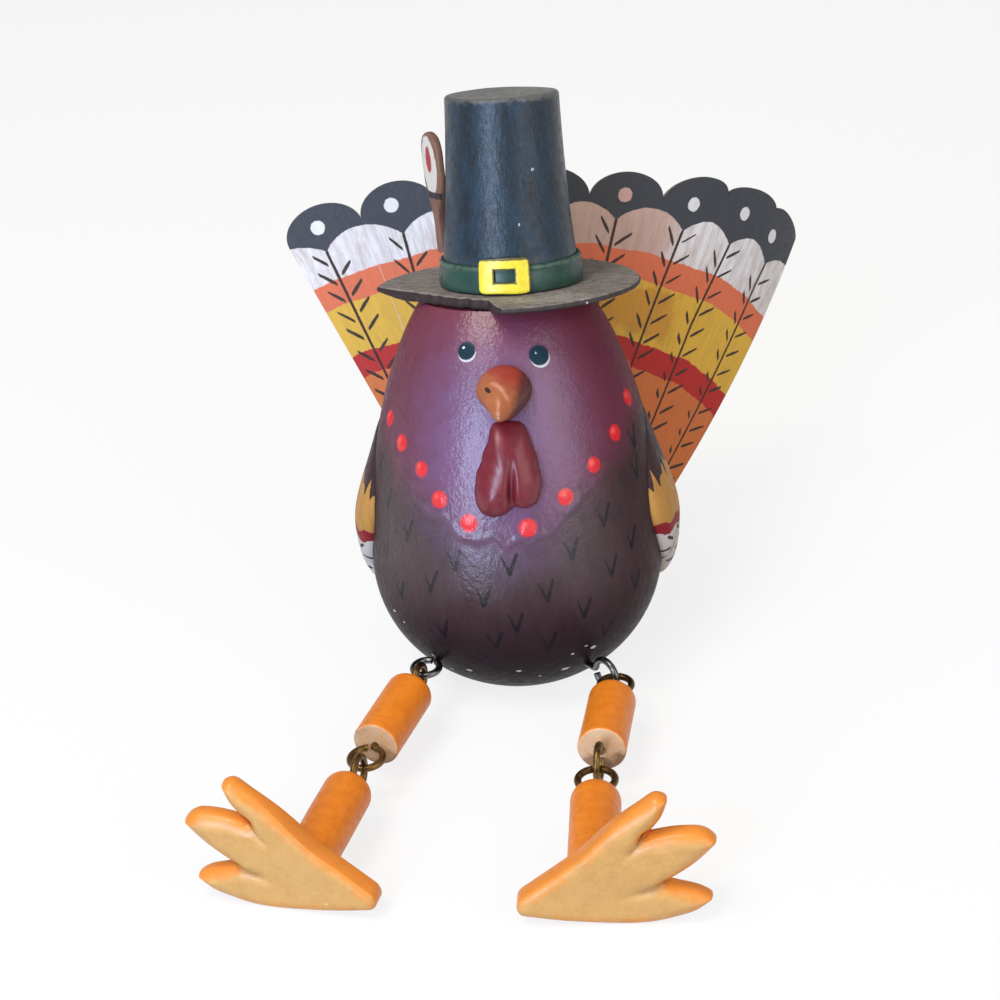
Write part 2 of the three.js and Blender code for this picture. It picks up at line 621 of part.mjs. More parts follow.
// Hat feather: a flat paddle that stands on its stem against the crown's left side
const featherLow = bandHigh + GLUE_GAP;
const paddle = new THREE.Shape();
const neck = FEATHER_LENGTH - FEATHER_HEAD;
paddle.moveTo(-FEATHER_STEM / 2, 0);
paddle.lineTo(FEATHER_STEM / 2, 0);
paddle.lineTo(FEATHER_STEM / 2, neck * 0.7);
paddle.quadraticCurveTo(FEATHER_WIDTH / 2, neck, FEATHER_WIDTH / 2, FEATHER_LENGTH - FEATHER_WIDTH / 2);
paddle.absarc(0, FEATHER_LENGTH - FEATHER_WIDTH / 2, FEATHER_WIDTH / 2, 0, Math.PI);
paddle.quadraticCurveTo(-FEATHER_WIDTH / 2, neck, -FEATHER_STEM / 2, neck * 0.7);
paddle.closePath();
const plate = new THREE.ExtrudeGeometry(paddle, {
  depth: FEATHER_THICKNESS,
  bevelEnabled: false,
  curveSegments: 8,
});
const stand = crownRadius(featherLow) + GLUE_GAP + FEATHER_THICKNESS;
const facing = new THREE.Vector3(Math.sin(FEATHER_FACING), -Math.cos(FEATHER_FACING), 0);
const featherTurn = new THREE.Matrix4().makeBasis(up.clone().cross(facing), up, facing);
const featherMatrix = featherTurn.multiply(new THREE.Matrix4().makeRotationX(FEATHER_LEAN));
featherMatrix.setPosition(
  stand * Math.sin(FEATHER_AZIMUTH),
  -stand * Math.cos(FEATHER_AZIMUTH),
  featherLow,
);
plate.translate(0, 0, -FEATHER_THICKNESS).applyMatrix4(featherMatrix);
const crownRoom = turned(
  [[0, crownBase], ...crownWall(crownBase, crownTop, GLUE_GAP, 6), [0, crownTop]],
  CROWN_SIDES,
);
const feather = toSolid(plate).subtract(toSolid(crownRoom));
addPiece(hat, 'hat_feather', toGeometry(feather), paint.feather);

export default figure;
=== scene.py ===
"""Painted wooden turkey that sits on a shelf, dressed around its CAD frame."""

from __future__ import annotations

import logging
import math
from dataclasses import dataclass, field
from enum import Enum
from typing import Sequence

import bmesh
import bpy
import numpy as np
from mathutils import Matrix

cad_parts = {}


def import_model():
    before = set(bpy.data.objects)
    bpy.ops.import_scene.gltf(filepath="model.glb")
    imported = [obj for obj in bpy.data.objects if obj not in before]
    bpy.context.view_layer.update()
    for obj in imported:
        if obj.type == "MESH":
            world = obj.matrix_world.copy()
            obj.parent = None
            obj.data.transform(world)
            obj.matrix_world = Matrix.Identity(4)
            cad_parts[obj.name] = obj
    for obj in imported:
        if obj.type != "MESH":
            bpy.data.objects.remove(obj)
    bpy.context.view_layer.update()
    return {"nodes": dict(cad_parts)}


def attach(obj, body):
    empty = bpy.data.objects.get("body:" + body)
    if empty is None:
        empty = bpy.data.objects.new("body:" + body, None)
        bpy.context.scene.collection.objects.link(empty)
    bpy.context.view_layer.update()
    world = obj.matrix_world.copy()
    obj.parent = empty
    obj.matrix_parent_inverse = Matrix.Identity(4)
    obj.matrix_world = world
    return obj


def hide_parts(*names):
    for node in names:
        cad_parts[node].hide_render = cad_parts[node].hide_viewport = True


LOG = logging.getLogger("turkey")
Array = np.ndarray
Socket = bpy.types.NodeSocket
RGB = tuple[float, float, float]
Pairs = tuple[tuple[float, float], ...]
Shape = tuple[Array, list[Array], dict[str, Array]]

MM = 0.001
SEED = 27
FULL_TURN = 2 * math.pi
UP = np.array([0.0, 0.0, 1.0])
FAR = 9.0  # a distance in millimetres that no coat of paint reaches
LEAN = math.radians(10.7)  # how far the torso leans back
SEAT_CUT = 5.0  # height of the egg that is cut off where it sits
CLUMP_SCALE = 0.7  # lumps of paint per millimetre
COAT_ROUGH = 0.26


class Side(Enum):
    """Which side of the figure a piece is on, as its sign along X."""

    LEFT = -1
    RIGHT = 1

    @property
    def word(self) -> str:
        """The side's name as the nodes spell it."""
        return self.name.lower()


def srgb(red: int, green: int, blue: int) -> RGB:
    """A paint's display colour, 0 to 255, as linear light.

    Args:
        red: red on the display scale.
        green: green on the display scale.
        blue: blue on the display scale.

    Returns:
        The three linear values.
    """
    values = np.array([red, green, blue]) / 255.0
    linear = np.where(values <= 0.04045, values / 12.92, ((values + 0.055) / 1.055) ** 2.4)
    return tuple(float(v) for v in linear)


def smooth(low: float, high: float, value: Array) -> Array:
    """Smooth step: 0 below low, 1 above high, 3t squared minus 2t cubed between."""
    share = np.clip((value - low) / (high - low), 0.0, 1.0)
    return share * share * (3.0 - 2.0 * share)


def bell(value: Array, width: float) -> Array:
    """A bump: 1 where the value is 0, fallen to 1/e at the width."""
    return np.exp(-((value / width) ** 2))


def around(sides: int) -> Array:
    """Angles evenly spaced round a full turn, from zero."""
    return np.linspace(0, FULL_TURN, sides, endpoint=False)


def squircle(turn: Array, power: float) -> tuple[Array, Array]:
    """A circle squared off: each angle's point is pushed out to where its powers add up to 1.

    Args:
        turn: the angles.
        power: 2 for a circle, and squarer the higher it is.

    Returns:
        The points' two coordinates.
    """
    cosine, sine = np.cos(turn), np.sin(turn)
    reach = (np.abs(cosine) ** power + np.abs(sine) ** power) ** (-1 / power)
    return cosine * reach, sine * reach


def ripple(*coords: Array, waves: int = 9, low: float = 0.1, high: float = 0.5, key: int = 0) -> Array:
    """Gentle unevenness: a sum of sines in random directions over the given coordinates.

    Args:
        coords: coordinate arrays of one shape, in millimetres.
        waves: number of sines.
        low: lowest wave number, per millimetre.
        high: highest wave number, per millimetre.
        key: which fixed random draw to use.

    Returns:
        Values of about -1 to 1.
    """
    draw = np.random.default_rng(SEED + key)
    total = np.zeros_like(coords[0], dtype=float)
    for _ in range(waves):
        way = draw.normal(size=len(coords))
        way *= draw.uniform(low, high) / np.linalg.norm(way)
        total += np.sin(sum(k * c for k, c in zip(way, coords)) + draw.uniform(0, FULL_TURN))
    return total / math.sqrt(waves)


def segment_distance(px: Array, py: Array, ends: Sequence[Sequence[float]]) -> Array:
    """Least distance from points to straight strokes.

    Args:
        px: points' first coordinate.
        py: points' second coordinate.
        ends: strokes as (x0, y0, x1, y1).

    Returns:
        The distance to the nearest stroke.
    """
    best = np.full(np.shape(px), 1e6)
    for x0, y0, x1, y1 in ends:
        dx, dy = x1 - x0, y1 - y0
        share = np.clip(((px - x0) * dx + (py - y0) * dy) / (dx * dx + dy * dy), 0.0, 1.0)
        best = np.minimum(best, np.hypot(px - x0 - share * dx, py - y0 - share * dy))
    return best


def leaned(sideways: Array, forward: Array, height: Array) -> Array:
    """Points of the leaned-back torso in the world frame.

    Args:
        sideways: to the viewer's right of the torso's axis, in millimetres.
        forward: in front of its axis.
        height: above the egg's uncut bottom.

    Returns:
        The points, with x, y and z along the last axis.
    """
    sideways, forward, height = np.broadcast_arrays(sideways, forward, height)
    y = height * math.sin(LEAN) - forward * math.cos(LEAN)
    z = height * math.cos(LEAN) + forward * math.sin(LEAN) - SEAT_CUT
    return np.stack([sideways, y, z], axis=-1)


@dataclass
class Shell:
    """A closed surface: a grid of rows round a form, each row a closed ring.

    Attributes:
        points: rows by columns by 3, in millimetres in the world frame.
        fields: values painted on the points, each rows by columns.
    """

    points: Array
    fields: dict[str, Array] = field(default_factory=dict)

    def joined(self) -> tuple[Array, Array, Array]:
        """Joins each ring's points to the next ring's.

        Returns:
            Numbers of the points and of their neighbours in the ring, and the quads between rings.
        """
        rows, cols, _ = self.points.shape
        index = np.arange(rows * cols).reshape(rows, cols)
        right = np.roll(index, -1, axis=1)
        quads = np.stack([index[:-1], right[:-1], right[1:], index[1:]], axis=-1).reshape(-1, 4)
        return index, right, quads

    def with_faces(self, faces: list[Array]) -> Shape:
        """The points and their fields in one list each, with the given faces."""
        fields = {name: values.reshape(-1) for name, values in self.fields.items()}
        return self.points.reshape(-1, 3), faces, fields

    def closed(self) -> Shape:
        """Joins the rings and closes both ends with a middle point.

        Returns:
            Vertices, face arrays (quads, then triangles) and the fields per vertex.
        """
        index, right, quads = self.joined()
        rows, cols = index.shape
        first, last = rows * cols, rows * cols + 1
        start = np.stack([np.full(cols, first), right[0], index[0]], axis=-1)
        end = np.stack([np.full(cols, last), index[-1], right[-1]], axis=-1)

        def ends(values: Array) -> Array:
            """Adds the means of the first and last rings to some values.

            Args:
                values: values by row and column.

            Returns:
                The values of all the points, then those of the two middle points.
            """
            flat = values.reshape(rows * cols, -1)
            middles = np.stack([values[0].mean(axis=0), values[-1].mean(axis=0)]).reshape(2, -1)
            return np.concatenate([flat, middles])

        fields = {name: ends(values)[:, 0] for name, values in self.fields.items()}
        return ends(self.points), [quads, np.concatenate([start, end])], fields

    def looped(self) -> Shape:
        """Joins the rings and the last ring to the first, as round a hoop.

        Returns:
            Vertices, quads and the fields per vertex.
        """
        index, right, _ = self.joined()
        below, far = np.roll(index, -1, axis=0), np.roll(right, -1, axis=0)
        return self.with_faces([np.stack([index, right, far, below], axis=-1).reshape(-1, 4)])

    def folded(self) -> Shape:
        """Joins the rings and stitches the two halves of each end ring together, as round a sheet.

        Returns:
            Vertices, quads and the fields per vertex.
        """
        index, _, quads = self.joined()
        half = index.shape[1] // 2
        ends = []
        for row in (index[0], index[-1]):
            first, last = row[:half], row[half:][::-1]
            ends.append(np.stack([first[:-1], last[:-1], last[1:], first[1:]], axis=-1))
        return self.with_faces([quads, *ends])


def make_piece(
    name: str,
    shape: Shape,
    material: bpy.types.Material,
    body: str,
    node: str,
    crease: float,
) -> None:
    """Turns a shape into a Blender object that rides on a body and stands for a CAD node.

    Args:
        name: the piece's name.
        shape: vertices in millimetres, face arrays and fields per vertex.
        material: what it is painted with.
        body: the CAD body that it moves with.
        node: the CAD node that it stands for.
        crease: angle in degrees above which an edge stays sharp.
    """
    verts, faces, fields = shape
    sizes = np.concatenate([np.full(len(f), f.shape[1]) for f in faces])
    loops = np.concatenate([f.reshape(-1) for f in faces])
    starts = np.concatenate([[0], np.cumsum(sizes)[:-1]])
    mesh = bpy.data.meshes.new(name)
    mesh.vertices.add(len(verts))
    mesh.vertices.foreach_set("co", np.ascontiguousarray(verts * MM, dtype=np.float32).reshape(-1))
    mesh.loops.add(len(loops))
    mesh.loops.foreach_set("vertex_index", loops.astype(np.int32))
    mesh.polygons.add(len(sizes))
    mesh.polygons.foreach_set("loop_start", starts.astype(np.int32))
    mesh.polygons.foreach_set("loop_total", sizes.astype(np.int32))
    mesh.update(calc_edges=True)
    for label, values in fields.items():
        layer = mesh.attributes.new(label, "FLOAT", "POINT")
        layer.data.foreach_set("value", np.ascontiguousarray(values, dtype=np.float32))
    work = bmesh.new()
    work.from_mesh(mesh)
    bmesh.ops.recalc_face_normals(work, faces=work.faces)
    work.to_mesh(mesh)
    work.free()
    mesh.shade_smooth()
    mesh.set_sharp_from_angle(angle=math.radians(crease))
    mesh.materials.append(material)
    piece = bpy.data.objects.new(name, mesh)
    bpy.context.scene.collection.objects.link(piece)
    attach(piece, body)
    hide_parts(node)
    LOG.info("%s: %d vertices, on %s", name, len(verts), body)


def tube(path: Array, radius: Array, sides: int, upright: Array) -> Array:
    """A round profile carried along a path.

    Args:
        path: points along the middle, in millimetres.
        radius: the wire's radius at each point.
        sides: points round the profile.
        upright: a direction never along the path, which fixes the profile's turn.

    Returns:
        Rows by columns by 3 points.
    """
    along = np.gradient(path, axis=0)
    along /= np.linalg.norm(along, axis=1, keepdims=True)
    across = np.cross(along, upright)
    across /= np.linalg.norm(across, axis=1, keepdims=True)
    third = np.cross(across, along)
    turn = around(sides)[None, :, None]
    ring = np.cos(turn) * across[:, None] + np.sin(turn) * third[:, None]
    return path[:, None] + radius[:, None, None] * ring


def lathe(profile: Sequence[Sequence[float]], sides: int) -> tuple[Array, Array, Array]:
    """A profile turned about its axis.

    Args:
        profile: rows of (radius, height).
        sides: points round the axis.

    Returns:
        Sideways, forward and height arrays, each rows by sides.
    """
    rows = np.array(profile, dtype=float)
    turn = np.linspace(-math.pi, math.pi, sides, endpoint=False)[None]
    radius, height = rows[:, :1], np.repeat(rows[:, 1:], sides, axis=1)
    return radius * np.sin(turn), radius * np.cos(turn), height


def densify(corners: Array, step: float) -> Array:
    """Points evenly spaced along each side of a polyline, with its corners kept.

    Args:
        corners: the polyline's corners.
        step: longest gap between points.

    Returns:
        The denser polyline.
    """
    runs = [corners[:1]]
    for a, b in zip(corners[:-1], corners[1:]):
        count = max(1, int(math.ceil(np.linalg.norm(b - a) / step)))
        runs.append(a + (b - a) * np.linspace(0, 1, count + 1)[1:, None])
    return np.concatenate(runs)


def rounded_edge(radius: float, height: float, inset: float, up: bool, steps: int = 6) -> list[list[float]]:
    """A quarter round at the rim of a turned piece.

    Args:
        radius: the piece's radius below the round.
        height: height of the rim's flat.
        inset: radius of the round.
        up: whether the round closes an upper rim.
        steps: steps round the quarter.

    Returns:
        Points of (radius, height) from lower to higher.
    """
    turn = np.linspace(0, math.pi / 2, steps + 1)
    out = radius - inset + inset * np.cos(turn)
    rise = inset * np.sin(turn)
    points = np.stack([out, height - inset + rise if up else height + inset - rise], axis=1)
    return (points if up else points[::-1]).tolist()


class Graph:
    """Short calls for placing and linking shader nodes in one tree."""

    def __init__(self, tree: bpy.types.NodeTree) -> None:
        """Keeps the tree that the nodes go into."""
        self.tree = tree

    def fill(self, sockets: bpy.types.NodeInputs, links: dict[str | int, object]) -> None:
        """Sets or links a node's inputs.

        Args:
            sockets: the node's inputs.
            links: input name or number to a socket, or to a plain value.
        """
        for key, value in links.items():
            if isinstance(value, Socket):
                self.tree.links.new(value, sockets[key])
            else:
                solid = sockets[key].type == "RGBA"
                sockets[key].default_value = (*value, 1.0) if solid else value

    def add(
        self, kind: str, links: dict[str | int, object] | None = None, **settings: object
    ) -> bpy.types.Node:
        """Places a node, sets its options, and sets or links its inputs.

        Args:
            kind: the node's type name, without its family.
            links: input name or number to a socket, or to a plain value.
            settings: the node's own options.

        Returns:
            The node.
        """
        node = self.tree.nodes.new(f"ShaderNode{kind}")
        for key, value in settings.items():
            setattr(node, key, value)
        self.fill(node.inputs, links or {})
        return node

    def math(self, operation: str, *values: object, clamp: bool = False) -> Socket:
        """A Math node's result for the given sockets or numbers."""
        return self.add("Math", dict(enumerate(values)), operation=operation, use_clamp=clamp).outputs[0]

    def step(self, value: Socket, low: object, high: object) -> Socket:
        """A smooth step of a socket from 0 at low to 1 at high."""
        links = {"Value": value, "From Min": low, "From Max": high}
        return self.add("MapRange", links, interpolation_type="SMOOTHSTEP").outputs["Result"]

    def mix(self, share: object, first: object, second: object) -> Socket:
        """A colour between two, by a share from 0 to 1."""
        return self.add("Mix", {0: share, 6: first, 7: second}, data_type="RGBA").outputs[2]

    def noise(self, vector: Socket, scale: object, detail: float = 3.0, rough: float = 0.55) -> Socket:
        """A noise texture's value, about 0 to 1."""
        links = {"Vector": vector, "Scale": scale, "Detail": detail, "Roughness": rough}
        return self.add("TexNoise", links).outputs["Fac"]

    def painted(self, name: str) -> Socket:
        """The value of a field that is painted on the mesh."""
        return self.add("Attribute", attribute_name=name).outputs["Fac"]


def shader_group(
    name: str, inputs: dict[str, str], outputs: dict[str, str]
) -> tuple[Graph, bpy.types.NodeOutputs, bpy.types.NodeInputs]:
    """An empty shader node group with named sockets.

    Args:
        name: the group's name.
        inputs: input name to socket kind, such as Float, Color or Vector.
        outputs: output name to socket kind.

    Returns:
        A graph on the group's tree, what it is given, and what it gives back.
    """
    tree = bpy.data.node_groups.new(name, "ShaderNodeTree")
    for way, sockets in (("INPUT", inputs), ("OUTPUT", outputs)):
        for label, kind in sockets.items():
            tree.interface.new_socket(name=label, in_out=way, socket_type=f"NodeSocket{kind}")
    enter, leave = tree.nodes.new("NodeGroupInput"), tree.nodes.new("NodeGroupOutput")
    return Graph(tree), enter.outputs, leave.inputs


def brush_tone_group() -> bpy.types.NodeTree:
    """Hand-brushed paint: two tones mixed in streaks, with the height of the strokes.

    Returns:
        The group: Vector, Stretch, Scale, Base, Second and Amount give Color and Height.
    """
    inputs = {"Vector": "Vector", "Stretch": "Vector", "Base": "Color", "Second": "Color"}
    graph, given, gives = shader_group(
        "brush_tone", inputs | {"Scale": "Float", "Amount": "Float"}, {"Color": "Color", "Height": "Float"}
    )
    links = {0: given["Vector"], 1: given["Stretch"]}
    pull = graph.add("VectorMath", links, operation="MULTIPLY").outputs[0]
    broad = graph.noise(pull, given["Scale"], 4.0, 0.6)
    fine = graph.noise(pull, graph.math("MULTIPLY", given["Scale"], 4.3), 3.0, 0.6)
    both = graph.math("ADD", graph.math("MULTIPLY", broad, 0.65), graph.math("MULTIPLY", fine, 0.35))
    share = graph.math("MULTIPLY", graph.step(both, 0.36, 0.66), given["Amount"])
    graph.fill(gives, {"Color": graph.mix(share, given["Base"], given["Second"]), "Height": both})
    return graph.tree


def ragged_mask_group() -> bpy.types.NodeTree:
    """A hand-painted patch: 1 where a distance is below zero, with an uneven, soft edge.

    Returns:
        The group: Vector, Distance, Soft, Ragged and Grain give Mask.
    """
    plain = dict.fromkeys(("Distance", "Soft", "Ragged", "Grain"), "Float")
    graph, given, gives = shader_group("ragged_mask", {"Vector": "Vector"} | plain, {"Mask": "Float"})
    wobble = graph.math("SUBTRACT", graph.noise(given["Vector"], given["Grain"], 3.0, 0.6), 0.5)
    shift = graph.math("MULTIPLY", wobble, graph.math("MULTIPLY", given["Ragged"], 4.0))
    edge = graph.math("ADD", given["Distance"], shift)
    outside = graph.step(edge, graph.math("MULTIPLY", given["Soft"], -1.0), given["Soft"])
    graph.fill(gives, {"Mask": graph.math("SUBTRACT", 1.0, outside)})
    return graph.tree


def fleck_group() -> bpy.types.NodeTree:
    """Small specks: the hearts of scattered cells, thinned by a slow noise.

    Returns:
        The group: Vector, Scale, Size and Spread give Mask.
    """
    plain = dict.fromkeys(("Scale", "Size", "Spread"), "Float")
    graph, given, gives = shader_group("flecks", {"Vector": "Vector"} | plain, {"Mask": "Float"})
    cells = graph.add("TexVoronoi", {"Vector": given["Vector"], "Scale": given["Scale"]})
    heart = graph.math("LESS_THAN", cells.outputs["Distance"], given["Size"])
    patch = graph.noise(given["Vector"], graph.math("MULTIPLY", given["Scale"], 0.6), 2.0)
    kept = graph.math("GREATER_THAN", patch, given["Spread"])
    graph.fill(gives, {"Mask": graph.math("MULTIPLY", heart, kept)})
    return graph.tree


def barb_group() -> bpy.types.NodeTree:
    """Short strokes that slant up and away from a quill, one side steeper than the other.

    Returns:
        The group: Out, Below and Lane give the Distance to the nearest stroke's edge.
    """
    plain = dict.fromkeys(("Out", "Below", "Lane"), "Float")
    graph, given, gives = shader_group("barb_strokes", plain, {"Distance": "Float"})
    spacing, gap, first = 6.2, 1.5, 2.6
    lane = graph.math("ROUND", given["Lane"])
    hand = graph.math("MODULO", lane, 2.0)
    steep = graph.math("MULTIPLY_ADD", hand, -0.45, 1.25)
    away = graph.math("SUBTRACT", given["Out"], gap)
    start = graph.math("MULTIPLY_ADD", away, steep, given["Below"])
    count = graph.math("ADD", graph.math("DIVIDE", start, spacing), graph.math("MULTIPLY", lane, 0.37))
    stroke = graph.math("FLOOR", count)
    spot = graph.add("CombineXYZ", {0: stroke, 1: lane}).outputs[0]
    chance = graph.add("TexWhiteNoise", {"Vector": spot}, noise_dimensions="3D").outputs["Color"]
    shares = graph.add("SeparateColor", {0: chance}).outputs
    middle = graph.math("MULTIPLY_ADD", shares[0], 0.28, 0.36)
    sine = graph.math("MULTIPLY_ADD", hand, 0.15, 0.62)
    miss = graph.math("SUBTRACT", graph.math("SUBTRACT", count, stroke), middle)
    miss = graph.math("MULTIPLY", graph.math("MULTIPLY", miss, spacing), sine)
    length = graph.math("MULTIPLY_ADD", shares[1], 0.9, 2.7)
    length = graph.math("ADD", length, graph.math("MULTIPLY", hand, 0.7))
    past = graph.math("MAXIMUM", graph.math("SUBTRACT", away, length), graph.math("MULTIPLY", away, -1.0))
    past = graph.math("DIVIDE", graph.math("MAXIMUM", past, 0.0), sine)
    square = graph.math("ADD", graph.math("MULTIPLY", miss, miss), graph.math("MULTIPLY", past, past))
    belly = graph.math("ABSOLUTE", graph.math("SUBTRACT", graph.math("DIVIDE", away, length), 0.4))
    half = graph.math("MULTIPLY_ADD", shares[2], 0.12, 0.42)
    half = graph.math("SUBTRACT", half, graph.math("MULTIPLY", belly, 0.28))
    above = graph.math("MULTIPLY", graph.math("LESS_THAN", start, first), FAR)
    edge = graph.math("SUBTRACT", graph.math("SQRT", square), half)
    graph.fill(gives, {"Distance": graph.math("ADD", edge, above)})
    return graph.tree


@dataclass(frozen=True)
class Coat:
    """One layer of paint, where a painted field is below zero.

    Attributes:
        where: the field, as a distance in millimetres.
        colour: the paint.
        soft: half width of its edge.
        ragged: how far its edge wanders.
        grain: how fine the wandering is, per millimetre.
        cover: how much it hides what is under it.
        streak: how much its brush strokes show.
    """

    where: str
    colour: RGB
    soft: float = 0.15
    ragged: float = 0.12
    grain: float = 0.6
    cover: float = 1.0
    streak: float = 0.35


@dataclass(frozen=True)
class Finish:
    """A painted or bare surface: two brushed tones, layers of paint, gloss and relief.

    Attributes:
        name: the material's name.
        base: its main colour.
        second: the colour that is streaked into it.
        stretch: how the strokes are drawn out along X, Y and Z.
        scale: strokes per millimetre.
        amount: how much of the second colour shows.
        rough: mean roughness.
        spread: how much the roughness varies.
        relief: height of the strokes in millimetres.
        clump: how strongly the relief breaks up into small lumps.
        metallic: 1 for bare metal.
        gloss: weight of the clear coat.
        varnish: field that the clear coat's weight is scaled by, or none.
        shine: reflection of the bare paint, 0.5 for a plain gloss.
        flecks: colour of the specks, or none.
        fleck_spread: how rare the specks are, 0.5 to 0.75.
        lanes: fields that the strokes run by, across and along, in place of the object's own axes.
        coats: layers painted on top, in order.
    """

    name: str
    base: RGB
    second: RGB
    stretch: tuple[float, float, float] = (1.0, 1.0, 1.0)
    scale: float = 0.25
    amount: float = 0.6
    rough: float = 0.5
    spread: float = 0.12
    relief: float = 0.08
    clump: float = 0.0
    metallic: float = 0.0
    gloss: float = 0.0
    varnish: str | None = None
    shine: float = 0.4
    flecks: RGB | None = None
    fleck_spread: float = 0.62
    lanes: tuple[str, str] | None = None
    coats: tuple[Coat, ...] = ()

    def material(self, groups: dict[str, bpy.types.NodeTree]) -> bpy.types.Material:
        """Builds the finish as a material.

        Args:
            groups: the shared node groups by name.

        Returns:
            The material.
        """
        material = bpy.data.materials.new(self.name)
        material.use_nodes = True
        graph = Graph(material.node_tree)
        place = graph.add("TexCoord").outputs["Object"]
        spot = graph.add("VectorMath", {0: place, "Scale": 1.0 / MM}, operation="SCALE").outputs[0]
        strokes = spot
        if self.lanes is not None:
            lanes = [graph.painted(name) for name in self.lanes]
            strokes = graph.add("CombineXYZ", dict(enumerate(lanes))).outputs[0]
        links = {"Vector": strokes, "Stretch": self.stretch, "Scale": self.scale}
        links |= {"Base": self.base, "Second": self.second, "Amount": self.amount}
        tone = graph.add("Group", node_tree=groups["brush_tone"])
        graph.fill(tone.inputs, links)
        patch = graph.noise(spot, self.scale * 1.7, 3.0)
        links = {"Value": patch, "From Min": 0.3, "From Max": 0.7}
        links |= {"To Min": self.rough - self.spread, "To Max": self.rough + self.spread}
        rough = graph.add("MapRange", links).outputs["Result"]
        weight = self.gloss
        if self.varnish is not None:
            weight = graph.math("MULTIPLY", graph.painted(self.varnish), self.gloss)
        lumps = graph.math("MULTIPLY", graph.noise(spot, CLUMP_SCALE, 3.0, 0.6), self.clump)
        raised = graph.math("ADD", tone.outputs["Height"], lumps)
        links = {"Height": raised, "Strength": 0.6, "Distance": self.relief * MM}
        normal = graph.add("Bump", links).outputs["Normal"]
        links = {"Base Color": self._layers(graph, groups, spot, tone), "Roughness": rough}
        links |= {"Metallic": self.metallic, "Specular IOR Level": self.shine}
        links |= {"Coat Weight": weight, "Coat Roughness": COAT_ROUGH}
        links |= {"Normal": normal, "Coat Normal": normal}
        graph.fill(material.node_tree.nodes["Principled BSDF"].inputs, links)
        return material

    def _layers(
        self, graph: Graph, groups: dict[str, bpy.types.NodeTree], spot: Socket, tone: bpy.types.Node
    ) -> Socket:
        """The colour of the brushed ground with the coats and the specks on it.

        Args:
            graph: where the nodes go.
            groups: the shared node groups by name.
            spot: the place on the object, in millimetres.
            tone: the ground's node, with its colour and its strokes' height.

        Returns:
            The colour.
        """
        colour = tone.outputs["Color"]
        streak = graph.step(tone.outputs["Height"], 0.4, 0.68)
        for coat in self.coats:
            links = {"Vector": spot, "Distance": self._where(graph, groups, coat.where)}
            links |= {"Soft": coat.soft, "Ragged": coat.ragged, "Grain": coat.grain}
            mask = graph.add("Group", links, node_tree=groups["ragged_mask"]).outputs["Mask"]
            cover = graph.math("MULTIPLY", mask, coat.cover)
            shade = tuple(0.68 * c + 0.06 * b for c, b in zip(coat.colour, self.second))
            brushed = graph.mix(graph.math("MULTIPLY", streak, coat.streak), coat.colour, shade)
            colour = graph.mix(cover, colour, brushed)
        if self.flecks is not None:
            links = {"Vector": spot, "Scale": 0.3, "Size": 0.16, "Spread": self.fleck_spread}
            specks = graph.add("Group", links, node_tree=groups["flecks"]).outputs["Mask"]
            colour = graph.mix(specks, colour, self.flecks)
        return colour

    @staticmethod
    def _where(graph: Graph, groups: dict[str, bpy.types.NodeTree], name: str) -> Socket:
        """The distance that a coat goes by: a painted field, or the fan's strokes.

        Args:
            graph: where the nodes go.
            groups: the shared node groups by name.
            name: the coat's field.

        Returns:
            The distance.
        """
        if name != "barbs":
            return graph.painted(name)
        places = {socket: graph.painted(socket.lower()) for socket in ("Out", "Below", "Lane")}
        return graph.add("Group", places, node_tree=groups["barb_strokes"]).outputs["Distance"]


BLACK = srgb(40, 33, 38)
BARE_WOOD = srgb(222, 184, 146)

BODY = Finish(
    "body_paint", srgb(70, 52, 54), srgb(54, 38, 43), stretch=(1.0, 1.0, 0.35), scale=0.3, rough=0.4,
    spread=0.08, relief=0.34, clump=0.9, gloss=1.0, varnish="varnish", shine=0.04,
    coats=(
        # painted shade: the egg darkens towards its bottom, where little light reaches
        Coat("low", srgb(32, 22, 26), soft=18.0, ragged=2.0, grain=0.1),
        Coat("mauve", srgb(106, 52, 70), soft=7.0, ragged=2.5, grain=0.15),
        Coat("crown_blush", srgb(118, 50, 66), soft=12.0, ragged=2.5, grain=0.12, cover=0.8),
        # painted reflection: a lilac-blue sheen over the middle of the face
        Coat("painted_sheen", srgb(124, 98, 144), soft=14.0, ragged=3.0, grain=0.15, cover=0.6),
        # painted highlight: a pale line along the crest of the raised collar
        Coat("ridge", srgb(112, 84, 116), soft=0.9, ragged=0.4, cover=0.3),
        Coat("vees", srgb(34, 28, 34), soft=0.16, ragged=0.12, grain=0.9),
        Coat("dots", srgb(222, 44, 50), soft=0.35, ragged=0.12),
        # painted highlight: a pale pink spot on each red dot
        Coat("dot_highlights", srgb(240, 110, 104), soft=0.5, ragged=0.1, cover=0.5),
        Coat("eye_whites", srgb(206, 206, 210), soft=0.12, ragged=0.06, cover=0.9),
        Coat("eyes", srgb(34, 54, 66), soft=0.14, ragged=0.05),
        Coat("eye_lights", srgb(236, 240, 244), soft=0.1, ragged=0.04),
        Coat("chips", srgb(222, 214, 206), soft=0.06, ragged=0.2, grain=1.2),
    ),
)

BEAK = Finish(
    "beak_paint", srgb(176, 104, 62), srgb(150, 82, 48), scale=0.4, rough=0.46, gloss=0.04,
    coats=(
        Coat("red_top", srgb(160, 56, 48), soft=1.6, ragged=0.6, grain=0.3, cover=0.85),
        Coat("shade", srgb(80, 38, 38), soft=1.5, ragged=0.4, cover=0.9),
        # painted highlight: pale strokes along the beak's upper ridge
        Coat("crest_highlight", srgb(220, 162, 130), soft=0.5, ragged=0.4, grain=0.5, cover=0.6),
        Coat("nostril", srgb(46, 30, 30), soft=0.14, ragged=0.1),
        # painted highlight: a small pale glint at the beak's tip
        Coat("tip", srgb(214, 196, 180), soft=0.3, ragged=0.25, grain=1.0, cover=0.7),
    ),
)

